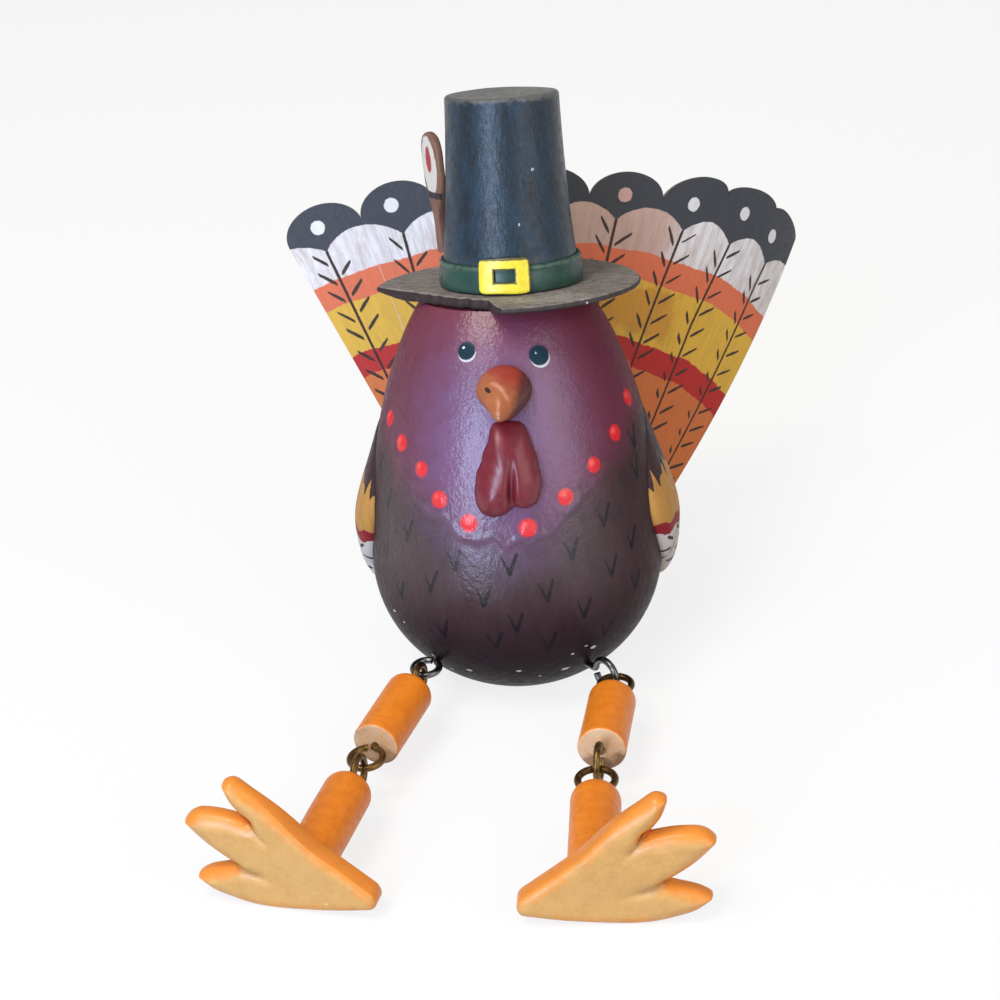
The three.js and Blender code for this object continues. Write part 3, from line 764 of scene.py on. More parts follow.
WATTLE = Finish(
    "wattle_paint", srgb(120, 30, 44), srgb(98, 24, 38), scale=0.2, rough=0.36, gloss=0.25,
    # painted shade: darker red in the groove between the lobes
    coats=(Coat("groove_shade", srgb(92, 22, 34), soft=0.8, ragged=0.3, cover=0.6),),
)

WING = Finish(
    "wing_paint", srgb(70, 52, 54), srgb(54, 38, 43), stretch=(1.0, 1.0, 0.4), rough=0.5, gloss=0.03,
    shine=0.1,
    coats=(
        Coat("ochre", srgb(190, 140, 74), soft=0.2, ragged=0.35, streak=0.6),
        Coat("red_band", srgb(140, 34, 42), soft=0.2, ragged=0.3),
        Coat("tips", srgb(208, 200, 194), soft=0.15, ragged=0.25),
        Coat("marks", BLACK, soft=0.12, ragged=0.15, grain=0.9),
    ),
)


@dataclass
class TailFan:
    """Thin scalloped sheet of painted feathers behind the body, curled back to the right.

    Places across it are counted in feathers from its left edge. Places along it are in millimetres from
    the ray point, where the feathers' edges would meet.
    """

    plane: float = 37.3  # how far behind the torso's axis its flat part lies
    shift: float = 0.9  # the ray point's place to the right of the axis
    drop: float = 17.5  # the ray point's depth below the egg's bottom
    roll: float = math.radians(8.05)  # the fan's turn in its own plane
    feathers: int = 8
    pitch: float = math.radians(8.51)  # angle from one feather to the next
    foot: float = 46.0  # where the sheet starts along the rays
    thickness: float = 1.0
    curl_start: float = -34.5  # where the curl starts, across from the centre line
    curl_radius: float = 109.0
    steps: int = 30  # columns of points in a feather
    rows: int = 150  # rows of points along it
    notches: Pairs = (  # the rim's notches, across and along
        (0.02, 151.7), (1.04, 150.5), (2.04, 149.7), (3.04, 149.0), (4.04, 148.4),
        (5.08, 149.9), (6.09, 156.7), (7.14, 160.4), (7.93, 159.0),
    )
    # how far each feather's rim stands above its notches
    rises: tuple[float, ...] = (8.4, 8.4, 8.0, 8.0, 7.6, 6.0, 4.0, 3.0)
    # each quill's place across, at its top
    quills: tuple[float, ...] = (0.441, 1.51, 2.5, 3.5, 4.453, 5.521, 6.433, 7.362)
    # how far each quill drifts left over drift_run
    drifts: tuple[float, ...] = (0.02, 0.06, 0.1, 0.13, 0.16, 0.265, 0.29, 0.21)
    drift_top: float = 142.5  # where the quills start to drift
    drift_run: float = 50.0  # length that the drifts are given for
    # where each cap's lower edge meets its quill
    cusps: tuple[float, ...] = (146.0, 143.2, 142.6, 142.5, 142.5, 142.6, 143.4, 144.6)
    # each band's name, its outer edge at the left and its fall per feather
    bands: tuple[tuple[str, float, float], ...] = (
        ("coral", 138.0, 0.75), ("yellow", 130.4, 0.85), ("red", 115.2, 1.35), ("orange", 108.2, 1.45),
    )
    dots: Pairs = (  # the caps' dots, across and along
        (0.476, 153.4), (1.467, 152.2), (2.5, 151.6), (3.5, 151.0),
        (4.524, 150.1), (5.575, 151.1), (6.516, 154.1), (7.277, 153.3),
    )
    dot_radius: float = 2.15
    tinted_dot: int = 4  # which dot is tinted tan-pink, like the patch round it
    brush_reach: float = 120.0  # where the brush strokes' spacing is measured

    def quill_at(self, number: Array, reach: Array) -> Array:
        """Where a feather's quill runs: it drifts left on its way down, as far as the feather's edge.

        Args:
            number: each point's feather.
            reach: distance from the ray point.

        Returns:
            The quill's place across.
        """
        drift = np.array(self.drifts)[number] * (self.drift_top - reach) / self.drift_run
        left = np.array(self.notches)[:-1, 0][number]
        return np.maximum(np.array(self.quills)[number] - drift, left + 0.2)

    def surface(self, across: Array, along: Array, depth: Array | float) -> Array:
        """The rolled sheet: flat at the left, then an arc that curls back.

        Args:
            across: distance from the centre line, along the sheet.
            along: distance from the ray point, up the centre line.
            depth: depth behind the front face.

        Returns:
            World points.
        """
        bend = np.maximum(0.0, (across - self.curl_start) / self.curl_radius)
        flat = np.minimum(across, self.curl_start) + (self.curl_radius - depth) * np.sin(bend)
        flat = np.where(bend > 0, flat, across)
        back = self.curl_radius * (1 - np.cos(bend)) + depth * np.cos(bend)
        sideways = self.shift + flat * math.cos(self.roll) + along * math.sin(self.roll)
        height = -self.drop + along * math.cos(self.roll) - flat * math.sin(self.roll)
        return leaned(sideways, -(self.plane + back), height)

    def front_at(self, sideways: Array, height: Array) -> Array:
        """How far forward the sheet's front face is, for fitting the body to it: a plane, then an arc.

        Args:
            sideways: to the right of the torso's axis.
            height: above the egg's bottom.

        Returns:
            Places in front of the torso's axis.
        """
        flat = (sideways - self.shift) * math.cos(self.roll) - (height + self.drop) * math.sin(self.roll)
        share = np.clip((flat - self.curl_start) / self.curl_radius, 0.0, 0.99)
        return -(self.plane + self.curl_radius * (1 - np.sqrt(1 - share * share)))

    def paint(self, ray: Array, reach: Array, number: Array) -> dict[str, Array]:
        """Distances to the painted bands, caps, dots and quills, and the places that strokes go by.

        Args:
            ray: place across the fan, counted in feathers from the left.
            reach: distance from the ray point.
            number: each column's feather.

        Returns:
            Field name to signed distance, below zero inside, or to a place in millimetres.
        """
        wave = 0.5 * ripple(ray * 20, reach * 0.1, key=1)
        cusp = np.interp(ray, self.quills, self.cusps)
        ends = (0.0, self.quills[0], self.quills[-1], self.notches[-1][0])
        swell = np.interp(ray, ends, (5.5, 4.8, 4.8, 5.4))
        beside = np.min([np.abs(ray - quill) for quill in self.quills], axis=0)
        arch = cusp + swell * np.sin(np.clip(beside / 0.5, 0.0, 1.0) * math.pi / 2) ** 0.8
        arc = self.pitch * reach
        side = (ray - self.quill_at(number, reach)) * arc
        spots = [np.hypot((ray - r) * arc, reach - h) - self.dot_radius for r, h in self.dots]
        seam = np.min([np.abs(ray - edge) for edge, _ in self.notches[1:-1]], axis=0) * arc
        quill = np.abs(side) - (0.3 + 0.0022 * (reach - 70.0))
        wash = np.abs(reach - 122.8 + 1.1 * ray) - 6.6
        fields = {name: reach - (start - fall * ray) + wave for name, start, fall in self.bands}
        return fields | {
            "cap": arch - reach,
            # the tan-pink tint beside the hat
            "tan": np.hypot((ray - 4.5) * arc, (reach - 143.0) * 1.2) - 20.0,
            "dot": np.min(spots, axis=0),
            # the dot beside the hat takes the same tan-pink tint
            "dot_tint": spots[self.tinted_dot],
            "quill": np.maximum(quill, reach - arch - 0.6),
            "wash": np.maximum(wash, (np.abs(ray - 4.9) - 0.9) * arc),
            "seam": np.where(ray < 2.6, seam - 0.14, FAR),
            "out": np.abs(side),
            "below": cusp - reach,
            "lane": 2.0 * number + (side > 0),
            "run": ray * self.pitch * self.brush_reach,
        }

    def build(self, material: bpy.types.Material) -> None:
        """Makes the fan: the front grid's rows, then the back's, closed round the rim.

        Args:
            material: its paint.
        """
        step = np.arange(self.feathers * self.steps + 1)
        number = np.minimum(step // self.steps, self.feathers - 1)[None]
        turn = (step - number * self.steps) / self.steps * math.pi
        share = (1 - np.cos(turn)) / 2
        near, far = np.array(self.notches)[number], np.array(self.notches)[number + 1]
        line = near + (far - near) * share[..., None]
        rim = line[..., 1] + np.array(self.rises)[number] * np.sin(turn)
        rise = np.linspace(0, 1, self.rows + 1)[:, None]
        reach = self.foot + (rim - self.foot) * rise
        number = np.broadcast_to(number, reach.shape)
        shift = self.quill_at(number, reach) - (near + far)[..., 0] / 2
        ray = line[..., 0] + shift * (1 - np.abs(2 * share - 1)) * smooth(1.0, 0.94, rise)
        angle = (ray - self.feathers / 2) * self.pitch
        across, along = reach * np.sin(angle), reach * np.cos(angle)
        front, back = self.surface(across, along, 0.0), self.surface(across, along, self.thickness)
        both = {}
        for name, values in self.paint(ray, reach, number).items():
            places = name in ("out", "below", "lane", "run")
            behind = values[:, ::-1] if places else np.full(values.shape, FAR)
            both[name] = np.concatenate([values, behind], axis=1)
        for name, ahead, behind in (("behind", 3.0, -3.0), ("stain", 99.0, 0.4)):
            both[name] = np.concatenate([np.full(ray.shape, ahead), np.full(ray.shape, behind)], axis=1)
        shape = Shell(np.concatenate([front, back[:, ::-1]], axis=1), both).folded()
        make_piece("painted_tail_fan", shape, material, "torso", "tail_fan", 35.0)


@dataclass
class EggBody:
    """The turned egg with its painted face, collar dots and feather marks.

    Painted places are an azimuth in degrees from the front and a height in millimetres.
    """

    fan: TailFan  # the fan that its back is cut to
    radius: float = 40.6
    lower: float = 38.7  # height of its widest ring, and the lower half's length
    upper: float = 87.0  # length that its upper half would have without the hat's flat
    hat_seat: float = 110.9  # height of the flat under the hat
    gap: float = 0.3  # clearance to the fan
    sides: int = 320  # columns of points round it
    rows: int = 180  # rows of points up it
    # the eyes' places and radii
    eyes: tuple[tuple[float, float, float], ...] = ((-16.4, 101.6, 2.45), (21.9, 99.7, 2.75))
    dots: Pairs = (  # the collar dots' places
        (-61.1, 81.6), (-47.7, 76.6), (-34.3, 71.1), (-25.0, 63.9), (-12.8, 58.2),
        (9.6, 56.6), (25.3, 63.5), (39.8, 70.2), (54.4, 76.7), (71.1, 83.8),
        (97.0, 89.5), (125.0, 92.0), (153.0, 92.5), (-179.0, 92.0), (-151.0, 92.5), (-123.0, 91.5),
        (-92.0, 88.5),
    )
    dot_size: float = 2.3  # the dots' mean radius
    vees: Pairs = (  # the feather marks at the front
        (-55.1, 61.1), (-41.0, 54.0), (-56.5, 47.2), (-46.8, 36.9), (-30.0, 41.3), (-19.4, 47.9),
        (-8.6, 38.5), (1.8, 47.2), (-27.4, 28.0), (2.8, 30.6), (-5.8, 25.2), (15.0, 39.1),
        (25.6, 49.6), (41.0, 56.7), (62.7, 66.1), (66.0, 74.0), (54.1, 48.2), (42.4, 42.5),
        (55.3, 36.1), (30.3, 32.5), (42.0, 24.3), (16.1, 23.6), (-66.0, 70.0), (-14.0, 18.0), (8.0, 15.5),
    )
    chips: tuple[tuple[float, float, float], ...] = (  # the bare chips' places and sizes
        (2.6, 13.6, 0.5), (27.3, 12.1, 0.7), (29.5, 12.3, 0.4), (28.2, 17.9, 0.4), (-24.0, 12.9, 0.6),
        (-56.3, 28.5, 0.5), (-50.8, 25.9, 0.4), (-45.9, 52.3, 0.35), (-42.6, 16.2, 0.5), (38.5, 18.6, 0.6),
        (34.0, 20.0, 0.35), (-38.0, 11.5, 0.5), (14.0, 10.5, 0.35), (75.0, 22.0, 0.4), (140.0, 30.0, 0.5),
    )
    collar: Pairs = (  # the painted collar's lower edge
        (-180, 88), (-120, 86), (-90, 82), (-75, 77), (-61, 73), (-50, 69.5), (-42.4, 66.4), (-31.4, 61.3),
        (-23.0, 59.9), (-17.0, 54.6), (-10.3, 53.5), (-3.2, 55.6), (1.5, 51.7), (7.5, 53.9), (16.5, 55.1),
        (25.3, 59.5), (36.4, 64.4), (46.3, 67.6), (58, 72), (71, 77), (90, 82), (120, 86), (180, 88),
    )

    def radius_at(self, height: Array) -> Array:
        """The egg's radius: a half ellipse below its widest ring and another above.

        Args:
            height: above the egg's bottom.

        Returns:
            The radius at each height.
        """
        reach = np.where(height < self.lower, self.lower, self.upper)
        share = np.clip((height - self.lower) / reach, -1.0, 1.0)
        return self.radius * np.sqrt(1 - share * share)

    def side_run(self, heights: Array) -> Array:
        """Distance along the egg's side from the first of some rising heights to each."""
        steps = np.hypot(np.diff(heights), np.diff(self.radius_at(heights)))
        return np.concatenate([[0], np.cumsum(steps)])

    def heights(self) -> Array:
        """Spaces the rows evenly along the egg's side.

        Returns:
            Heights from the bottom to the hat's seat.
        """
        dense = self.lower - self.lower * np.cos(np.linspace(0, math.pi / 2, 400))
        top = math.asin((self.hat_seat - self.lower) / self.upper)
        dense = np.concatenate([dense, self.lower + self.upper * np.sin(np.linspace(0, top, 600))[1:]])
        run = self.side_run(dense)
        return np.interp(np.linspace(run[2], run[-1], self.rows), run, dense)

    def run_at(self, height: Array | float) -> Array:
        """Distance along the egg's side, added up over short steps.

        Args:
            height: above the egg's bottom.

        Returns:
            The distance from the bottom.
        """
        dense = np.linspace(0, self.hat_seat, 1500)
        run = self.side_run(dense)
        return np.interp(height, dense, run)

    def near(self, azimuth: Array, height: Array, where: Sequence[float]) -> tuple[Array, Array]:
        """Sideways and upward distances on the surface from a painted spot.

        Args:
            azimuth: the points' azimuths in degrees.
            height: the points' heights.
            where: the spot's azimuth and height.

        Returns:
            The two distances in millimetres.
        """
        turn = (azimuth - where[0] + 180) % 360 - 180
        return np.radians(turn) * self.radius_at(height), self.run_at(height) - self.run_at(where[1])

    def back_vees(self) -> list[tuple[float, float]]:
        """Feather marks over the sides and back, in staggered rows clear of the wings.

        Returns:
            The marks' azimuths and heights.
        """
        marks = []
        for row, height in enumerate((76.0, 66.0, 57.0, 48.0, 39.0, 30.0, 21.0)):
            for turn in np.arange(-180 + 11 * (row % 2), 180, 22.0):
                wing = 70 < abs(turn) < 127 and 30 < height < 72
                if abs(turn) > 66 and not wing and not (abs(turn) < 76 and height > 60):
                    marks.append((float(turn), height))
        return marks

    def paint(self, azimuth: Array, height: Array) -> tuple[dict[str, Array], Array]:
        """Painted fields and the relief of the collar, dots and eyes.

        Args:
            azimuth: the points' azimuths in degrees.
            height: the points' heights.

        Returns:
            Field name to signed distance, and how far the surface stands proud.
        """
        turns, levels = np.array(self.collar).T
        edge = np.interp(azimuth, turns, levels) + 0.5 * ripple(azimuth * 0.7, key=2)
        above = (height - edge) * 0.9
        front = smooth(44, 24, np.abs(azimuth))
        proud = front * (0.55 * bell(above, 0.9) + 0.3 * smooth(-1.0, 2.5, above))
        across, rise = self.near(azimuth, height, (-2.0, 78.0))
        fields = {
            # painted shade, growing darker towards the bottom
            "low": height - 26.0,
            "mauve": 1.0 - above,
            # painted reflection: the sheen's oval round the middle of the face
            "painted_sheen": (np.hypot(across / 20, rise / 26) - 1.0) * 20,
            "crown_blush": 101.0 - height,
            # painted highlight along the collar's raised crest, at the front only
            "ridge": np.where(np.abs(azimuth) < 32, np.abs(above) - 0.7, FAR),
            "varnish": smooth(26, 50, height) * smooth(64, 30, np.abs(azimuth + 6)),
        }
        for name in ("dots", "dot_highlights", "vees", "eyes", "eye_whites", "eye_lights", "chips"):
            fields[name] = np.full(height.shape, FAR)

        def lay(name: str, distance: Array) -> None:
            """Adds a painted spot to a field."""
            fields[name] = np.minimum(fields[name], distance)

        draw = np.random.default_rng(SEED + 3)
        for spot in self.dots:
            across, rise = self.near(azimuth, height, spot)
            away = np.hypot(across, rise)
            size = self.dot_size + draw.uniform(-0.2, 0.2)
            lay("dots", away - size)
            # painted highlight at each dot's upper left
            lay("dot_highlights", np.hypot(across + 0.7, rise - 0.8) - 0.8)
            proud += 0.35 * smooth(size, 0.2, away)
            if abs(spot[0]) < 60:
                proud += 0.3 * bell(away - 4.0, 0.6) * smooth(6.0, -2.0, above)
        for spot in (*self.vees, *self.back_vees()):
            across, rise = self.near(azimuth, height, spot)
            jig = draw.uniform(-0.35, 0.35, 5)
            tip = (0.1 + jig[0], -2.8)
            strokes = ((*tip, -2.0 + jig[1], 2.2 + jig[2]), (*tip, 2.1 + jig[3], 2.6 + jig[4]))
            taper = 0.14 * smooth(-2.8, 2.4, rise)
            for stroke, width in zip(strokes, (0.44, 0.6)):
                lay("vees", segment_distance(across, rise, [stroke]) - width + taper)
        for *spot, size in self.eyes:
            across, rise = self.near(azimuth, height, spot)
            away = np.hypot(across, rise)
            fields["varnish"] = fields["varnish"] * smooth(size - 0.6, size + 0.8, away)
            lay("eyes", away - size)
            lay("eye_whites", np.hypot(across - 0.15, rise + 0.6) - size)
            lay("eye_lights", np.hypot(across + 0.85, rise - 0.9) - 0.4)
            proud += 0.3 * smooth(size + 0.3, 0.0, away)
        for *spot, size in self.chips:
            across, rise = self.near(azimuth, height, spot)
            lay("chips", np.hypot(across * 0.6, rise) - size)
        return fields, proud

    def build(self, material: bpy.types.Material) -> None:
        """Makes the egg, cut flat where it sits and where the fan lies against it.

        Args:
            material: its paint.
        """
        turn = np.linspace(-1, 1, self.sides, endpoint=False)
        azimuth = np.degrees(math.pi * turn - 0.45 * np.sin(math.pi * turn))[None]
        height = np.repeat(self.heights()[:, None], self.sides, axis=1)
        azimuth = np.repeat(azimuth, len(height), axis=0)
        fields, proud = self.paint(azimuth, height)
        radius = self.radius_at(height)
        angle = np.radians(azimuth)
        sideways, forward = radius * np.sin(angle), radius * np.cos(angle)
        uneven = 0.22 * ripple(sideways, forward, height, low=0.05, high=0.16, key=4)
        grown = radius + (proud + uneven) * smooth(0, 12, radius)
        sideways, forward = grown * np.sin(angle), grown * np.cos(angle)
        forward = np.maximum(forward, self.fan.front_at(sideways, height) + self.gap)
        points = leaned(sideways, forward, height)
        points[..., 2] = np.maximum(points[..., 2], 0.0)
        shape = Shell(points, fields).closed()
        make_piece("painted_body", shape, material, "torso", "body_egg", 40.0)


@dataclass
class Face:
    """The hooked beak and the two-lobed wattle, stuck on the front of the egg."""

    egg: EggBody
    turn: float = math.radians(3.0)  # the face's turn from the body's centre line
    beak_height: float = 91.0  # height of the beak's middle on the egg
    beak_width: float = 14.8
    beak_tall: float = 14.6
    beak_reach: float = 12.5
    beak_droop: float = 3.5  # how far its tip hooks down
    wattle_length: float = 22.0
    wattle_drop: float = 2.1  # from the beak's lower edge to the wattle
    wattle_proud: float = 5.6  # the wattle's greatest thickness
    wattle_edge: Pairs = (  # its outline about its middle, as sideways and up
        (-3.7, 13.4), (0.6, 13.8), (4.9, 13.2), (6.9, 7.4), (8.2, 2.0), (8.4, -3.6), (6.9, -7.6), (4.2, -8.8),
        (1.4, -7.9), (-0.8, -9.8), (-4.0, -10.9), (-7.3, -9.4), (-8.5, -6.0), (-8.4, -1.8), (-6.8, 3.6),
        (-4.9, 8.6),
    )
    wattle_rounds: int = 6  # how often the outline's corners are smoothed

    def beak(self, material: bpy.types.Material) -> None:
        """Makes the beak: rings about its middle line that narrow and hook down to the tip.

        Args:
            material: its paint.
        """
        lift = np.radians(np.concatenate([np.linspace(-60, 0, 16), np.linspace(0, 88, 56)[1:]]))[:, None]
        turn = around(96)[None]
        forward, ring = np.sin(lift), np.cos(lift)
        ahead = np.maximum(forward, 0.0)
        narrow = 1 - 0.5 * ahead
        left, top = ring * np.cos(turn), ring * np.sin(turn)
        ridge = 0.8 * bell(left, 0.34) * smooth(-0.1, 0.4, top) * ahead
        pinch = 1 - 0.3 * smooth(0.2, -1.0, top)
        across = left * self.beak_width / 2 * narrow * pinch - 1.2 * ahead**2
        height = self.beak_height + top * self.beak_tall / 2 * narrow - self.beak_droop * ahead**2
        out = self.egg.radius_at(np.array(self.beak_height)) + forward * self.beak_reach + ridge
        height = height + ridge * 0.6
        mouth = bell(top + 0.45 + 0.25 * ahead, 0.07) * smooth(0.0, 0.2, ahead)
        out = out - 0.25 * mouth
        rise = height - self.beak_height
        nostril = np.hypot((across + 3.9 + 0.3 * (rise - 2.6)) / 0.8, (rise - 2.6) / 0.6) - 1.0
        # painted highlight: the pale strokes along the beak's upper ridge
        worn = [(-2.9, 4.4, -0.4, 3.4), (-0.4, 3.4, 1.2, 0.8), (-1.2, 0.6, -1.4, -2.0)]
        crest_highlight = segment_distance(across, rise, worn) - 0.3
        under = 5.4 + rise - 0.2 * across + 2.0 * smooth(0.4, 0.9, ahead)
        # painted highlight at the hooked tip
        tip = np.hypot(across + 1.3, rise + self.beak_droop - 0.3) - 0.35
        fields = {
            "red_top": 0.6 * (3.8 - rise - 0.5 * across) + 0 * out,
            "shade": np.minimum(3.0 - across + 0.3 * rise, under),
            "crest_highlight": crest_highlight + 3.0 * smooth(0.4, 0.2, ahead),
            "nostril": np.where(ahead > 0.2, nostril * 0.8, FAR),
            "tip": tip + FAR * smooth(0.99, 0.9, ahead),
        }
        fields = {name: np.broadcast_to(values, left.shape) for name, values in fields.items()}
        side, front = self.turned(across, out)
        shape = Shell(leaned(side, front, height), fields).closed()
        make_piece("hooked_beak", shape, material, "torso", "beak", 60.0)

    def turned(self, across: Array, out: Array) -> tuple[Array, Array]:
        """A point of the face, turned a little off the body's centre line."""
        cosine, sine = math.cos(self.turn), math.sin(self.turn)
        return across * cosine + out * sine, out * cosine - across * sine

    def wattle(self, material: bpy.types.Material) -> None:
        """Makes the wattle: a mass with a narrow top that parts into two lobes, the right one shorter.

        Args:
            material: its paint.
        """
        middle = self.beak_height - self.beak_tall / 2 - self.wattle_drop - self.wattle_length / 2
        corners = np.array(self.wattle_edge)
        turns = np.unwrap(np.arctan2(corners[:, 1], corners[:, 0]))
        reaches = np.hypot(*corners.T)
        turn = turns[0] - around(200)
        outer = np.interp(turn, turns[::-1], reaches[::-1], period=FULL_TURN)
        for _ in range(self.wattle_rounds):
            outer = (np.roll(outer, 1) + 2 * outer + np.roll(outer, -1)) / 4
        share = np.sin(np.linspace(0.03, math.pi / 2, 60))[:, None]
        across, rise = share * outer * np.cos(turn), share * outer * np.sin(turn)
        groove = bell(across - 0.9 - 0.04 * rise, 0.9) * smooth(8.0, -5.0, rise)
        left = bell(across + 4.2, 3.6) * bell(rise + 5.5, 4.6)
        thick = self.wattle_proud * (1 - share**2.4) ** 0.55 * (0.86 - 0.34 * groove + 0.22 * left)
        sunk = np.concatenate([thick, np.full((1, len(turn)), -1.5)])
        across, rise = np.concatenate([across, across[-1:]]), np.concatenate([rise, rise[-1:]])
        azimuth = self.turn + across / self.egg.radius_at(np.array(middle))
        height = middle + rise
        out = self.egg.radius_at(height) + sunk + 0.15 * ripple(across, rise, low=0.2, high=0.6, key=12)
        # painted shade in the groove between the lobes
        fields = {"groove_shade": np.concatenate([0.55 - groove, np.full((1, len(turn)), 1.0)])}
        shape = Shell(leaned(out * np.sin(azimuth), out * np.cos(azimuth), height), fields).closed()
        make_piece("red_wattle", shape, material, "torso", "wattle", 80.0)


@dataclass
class Wing:
    """A raised drop-shaped wing on one side of the egg, painted in bands."""

    egg: EggBody
    side: Side
    azimuth: float = math.radians(96.2)  # its middle's angle from the front
    height: float = 48.8  # its middle's height
    length: float = 39.4  # its length from the lower tips to the painted shoulder
    width: float = 36.5
    proud: float = 5.4  # its greatest thickness
    shoulder: float = 9.0  # how far a thin shoulder carries on above
    # where it is fluted between its tips, to the front of its middle
    flutes: tuple[float, float] = (-1.5, 6.5)
    notch: float = 2.6  # depth of the notches between the tips
    # brushed strokes, to the front of its middle and up
    marks: tuple[tuple[float, float, float, float], ...] = (
        (9.6, 42, 12, 43.2), (9.2, 39.2, 11.4, 38.2), (3.0, 45.4, 5.4, 44.0), (2.4, 42.2, 4.6, 41.4),
        (2.8, 38.4, 4.8, 37.6), (-6.0, 47.4, -3.6, 45.8), (-6.2, 43.6, -4.0, 42.6), (3.0, 35.0, 5.0, 34.0),
        (6.5, 48, 6.3, 30), (-1.5, 49, -1.3, 30), (-9, 50, -8, 34),
    )

    def build(self, material: bpy.types.Material) -> None:
        """Makes the wing: rings round a drop that tapers to its lower tip, fluted between its tips.

        Args:
            material: its paint.
        """
        level = np.sin(np.radians(np.linspace(-88, 88, 130)))[:, None]
        ring = np.sqrt(1 - level**2)
        turn = around(110)[None]
        low = self.height - self.length / 2
        height = low + (level + 1) / 2 * (self.length + self.shoulder) + 0 * turn
        taper = 0.6 + 0.4 * smooth(low, low + 24, height) - 0.15 * smooth(low + 26, low + 50, height)
        across = ring * np.cos(turn) * self.width * taper / 2
        front = -across * self.side.value
        flute, notch = (sum(bell(front - place, width) for place in self.flutes) for width in (0.8, 1.6))
        height = height + self.notch * notch * smooth(low + 16, low + 2, height)
        full = 1.0 - 0.72 * smooth(low + 18, low + 46, height)
        proud = ring * np.sin(turn) * self.proud * full - 0.55 * flute * smooth(52, 42, height)
        turned = self.side.value * self.azimuth + across / self.egg.radius_at(np.array(self.height))
        out = self.egg.radius_at(height) + proud
        saw = np.abs((front / 5.2 + 0.25 * np.sin(front * 0.8)) % 1.0 - 0.5)
        wave = 0.16 * front - 0.7 * np.sin(front * 0.9)
        fields = {
            "ochre": height - (60.5 + 12.0 * saw - 0.2 * front),
            "red_band": height - 50.2 + wave,
            "tips": height - 46.8 + wave,
            "marks": segment_distance(front, height, self.marks) - 0.42,
        }
        shape = Shell(leaned(out * np.sin(turned), out * np.cos(turned), height), fields).closed()
        name = f"{self.side.word}_painted_wing"
        make_piece(name, shape, material, "torso", f"{self.side.word}_wing", 60.0)


HAT = Finish(
    "hat_paint", srgb(29, 52, 70), srgb(17, 25, 32), stretch=(1.0, 1.0, 0.3), scale=0.3, amount=0.85,
    rough=0.44, spread=0.1, relief=0.4, clump=0.5, gloss=0.2, shine=0.35, flecks=srgb(176, 180, 180),
    fleck_spread=0.67,
    coats=(
        Coat("top_wear", srgb(108, 106, 102), soft=0.9, ragged=0.9, grain=0.5, cover=0.85),
        Coat("foot_wear", srgb(50, 66, 70), soft=1.2, ragged=0.8, grain=0.4, cover=0.5),
    ),
)

BRIM = Finish(
    "brim_paint", srgb(146, 138, 130), srgb(98, 92, 88), stretch=(0.6, 1.0, 1.0), scale=0.5, amount=0.9,
    rough=0.62, relief=0.22, shine=0.3, flecks=srgb(196, 192, 184), fleck_spread=0.6,
    coats=(
        Coat("dust", srgb(170, 166, 160), soft=3.0, ragged=7.0, grain=0.7, cover=0.6),
        Coat("under", srgb(44, 40, 42), soft=0.4, ragged=0.3),
        Coat("rim", srgb(48, 42, 42), soft=0.4, ragged=0.3, cover=0.9),
        Coat("broken", srgb(52, 38, 38), soft=0.3, ragged=0.3, cover=0.95),
    ),
)

BAND = Finish(
    "band_paint", srgb(29, 70, 59), srgb(21, 53, 46), scale=0.3, rough=0.42, gloss=0.2, relief=0.1,
    flecks=srgb(170, 176, 164), fleck_spread=0.72,
    # painted highlight: a pale line along the band's rolled upper edge
    coats=(Coat("ridge", srgb(92, 112, 92), soft=0.3, ragged=0.35, cover=0.6),),
)

BUCKLE = Finish(
    "buckle_paint", srgb(240, 222, 62), srgb(214, 186, 40), scale=0.5, rough=0.38, gloss=0.3,
    # the buckle's painted dark outline round its opening, with painted shade along its right and top edges
    coats=(Coat("outline", srgb(58, 54, 40), soft=0.16, ragged=0.16, grain=0.9, cover=0.9),),
)

FEATHER = Finish(
    "hat_feather_paint", srgb(132, 94, 76), srgb(98, 68, 58), stretch=(1.0, 1.0, 0.3), scale=0.5,
    rough=0.55,
    coats=(
        Coat("face", srgb(224, 214, 204), soft=0.2, ragged=0.2),
        Coat("heart", srgb(168, 52, 62), soft=0.2, ragged=0.15),
        Coat("bar", BLACK, soft=0.12, ragged=0.12),
    ),
)

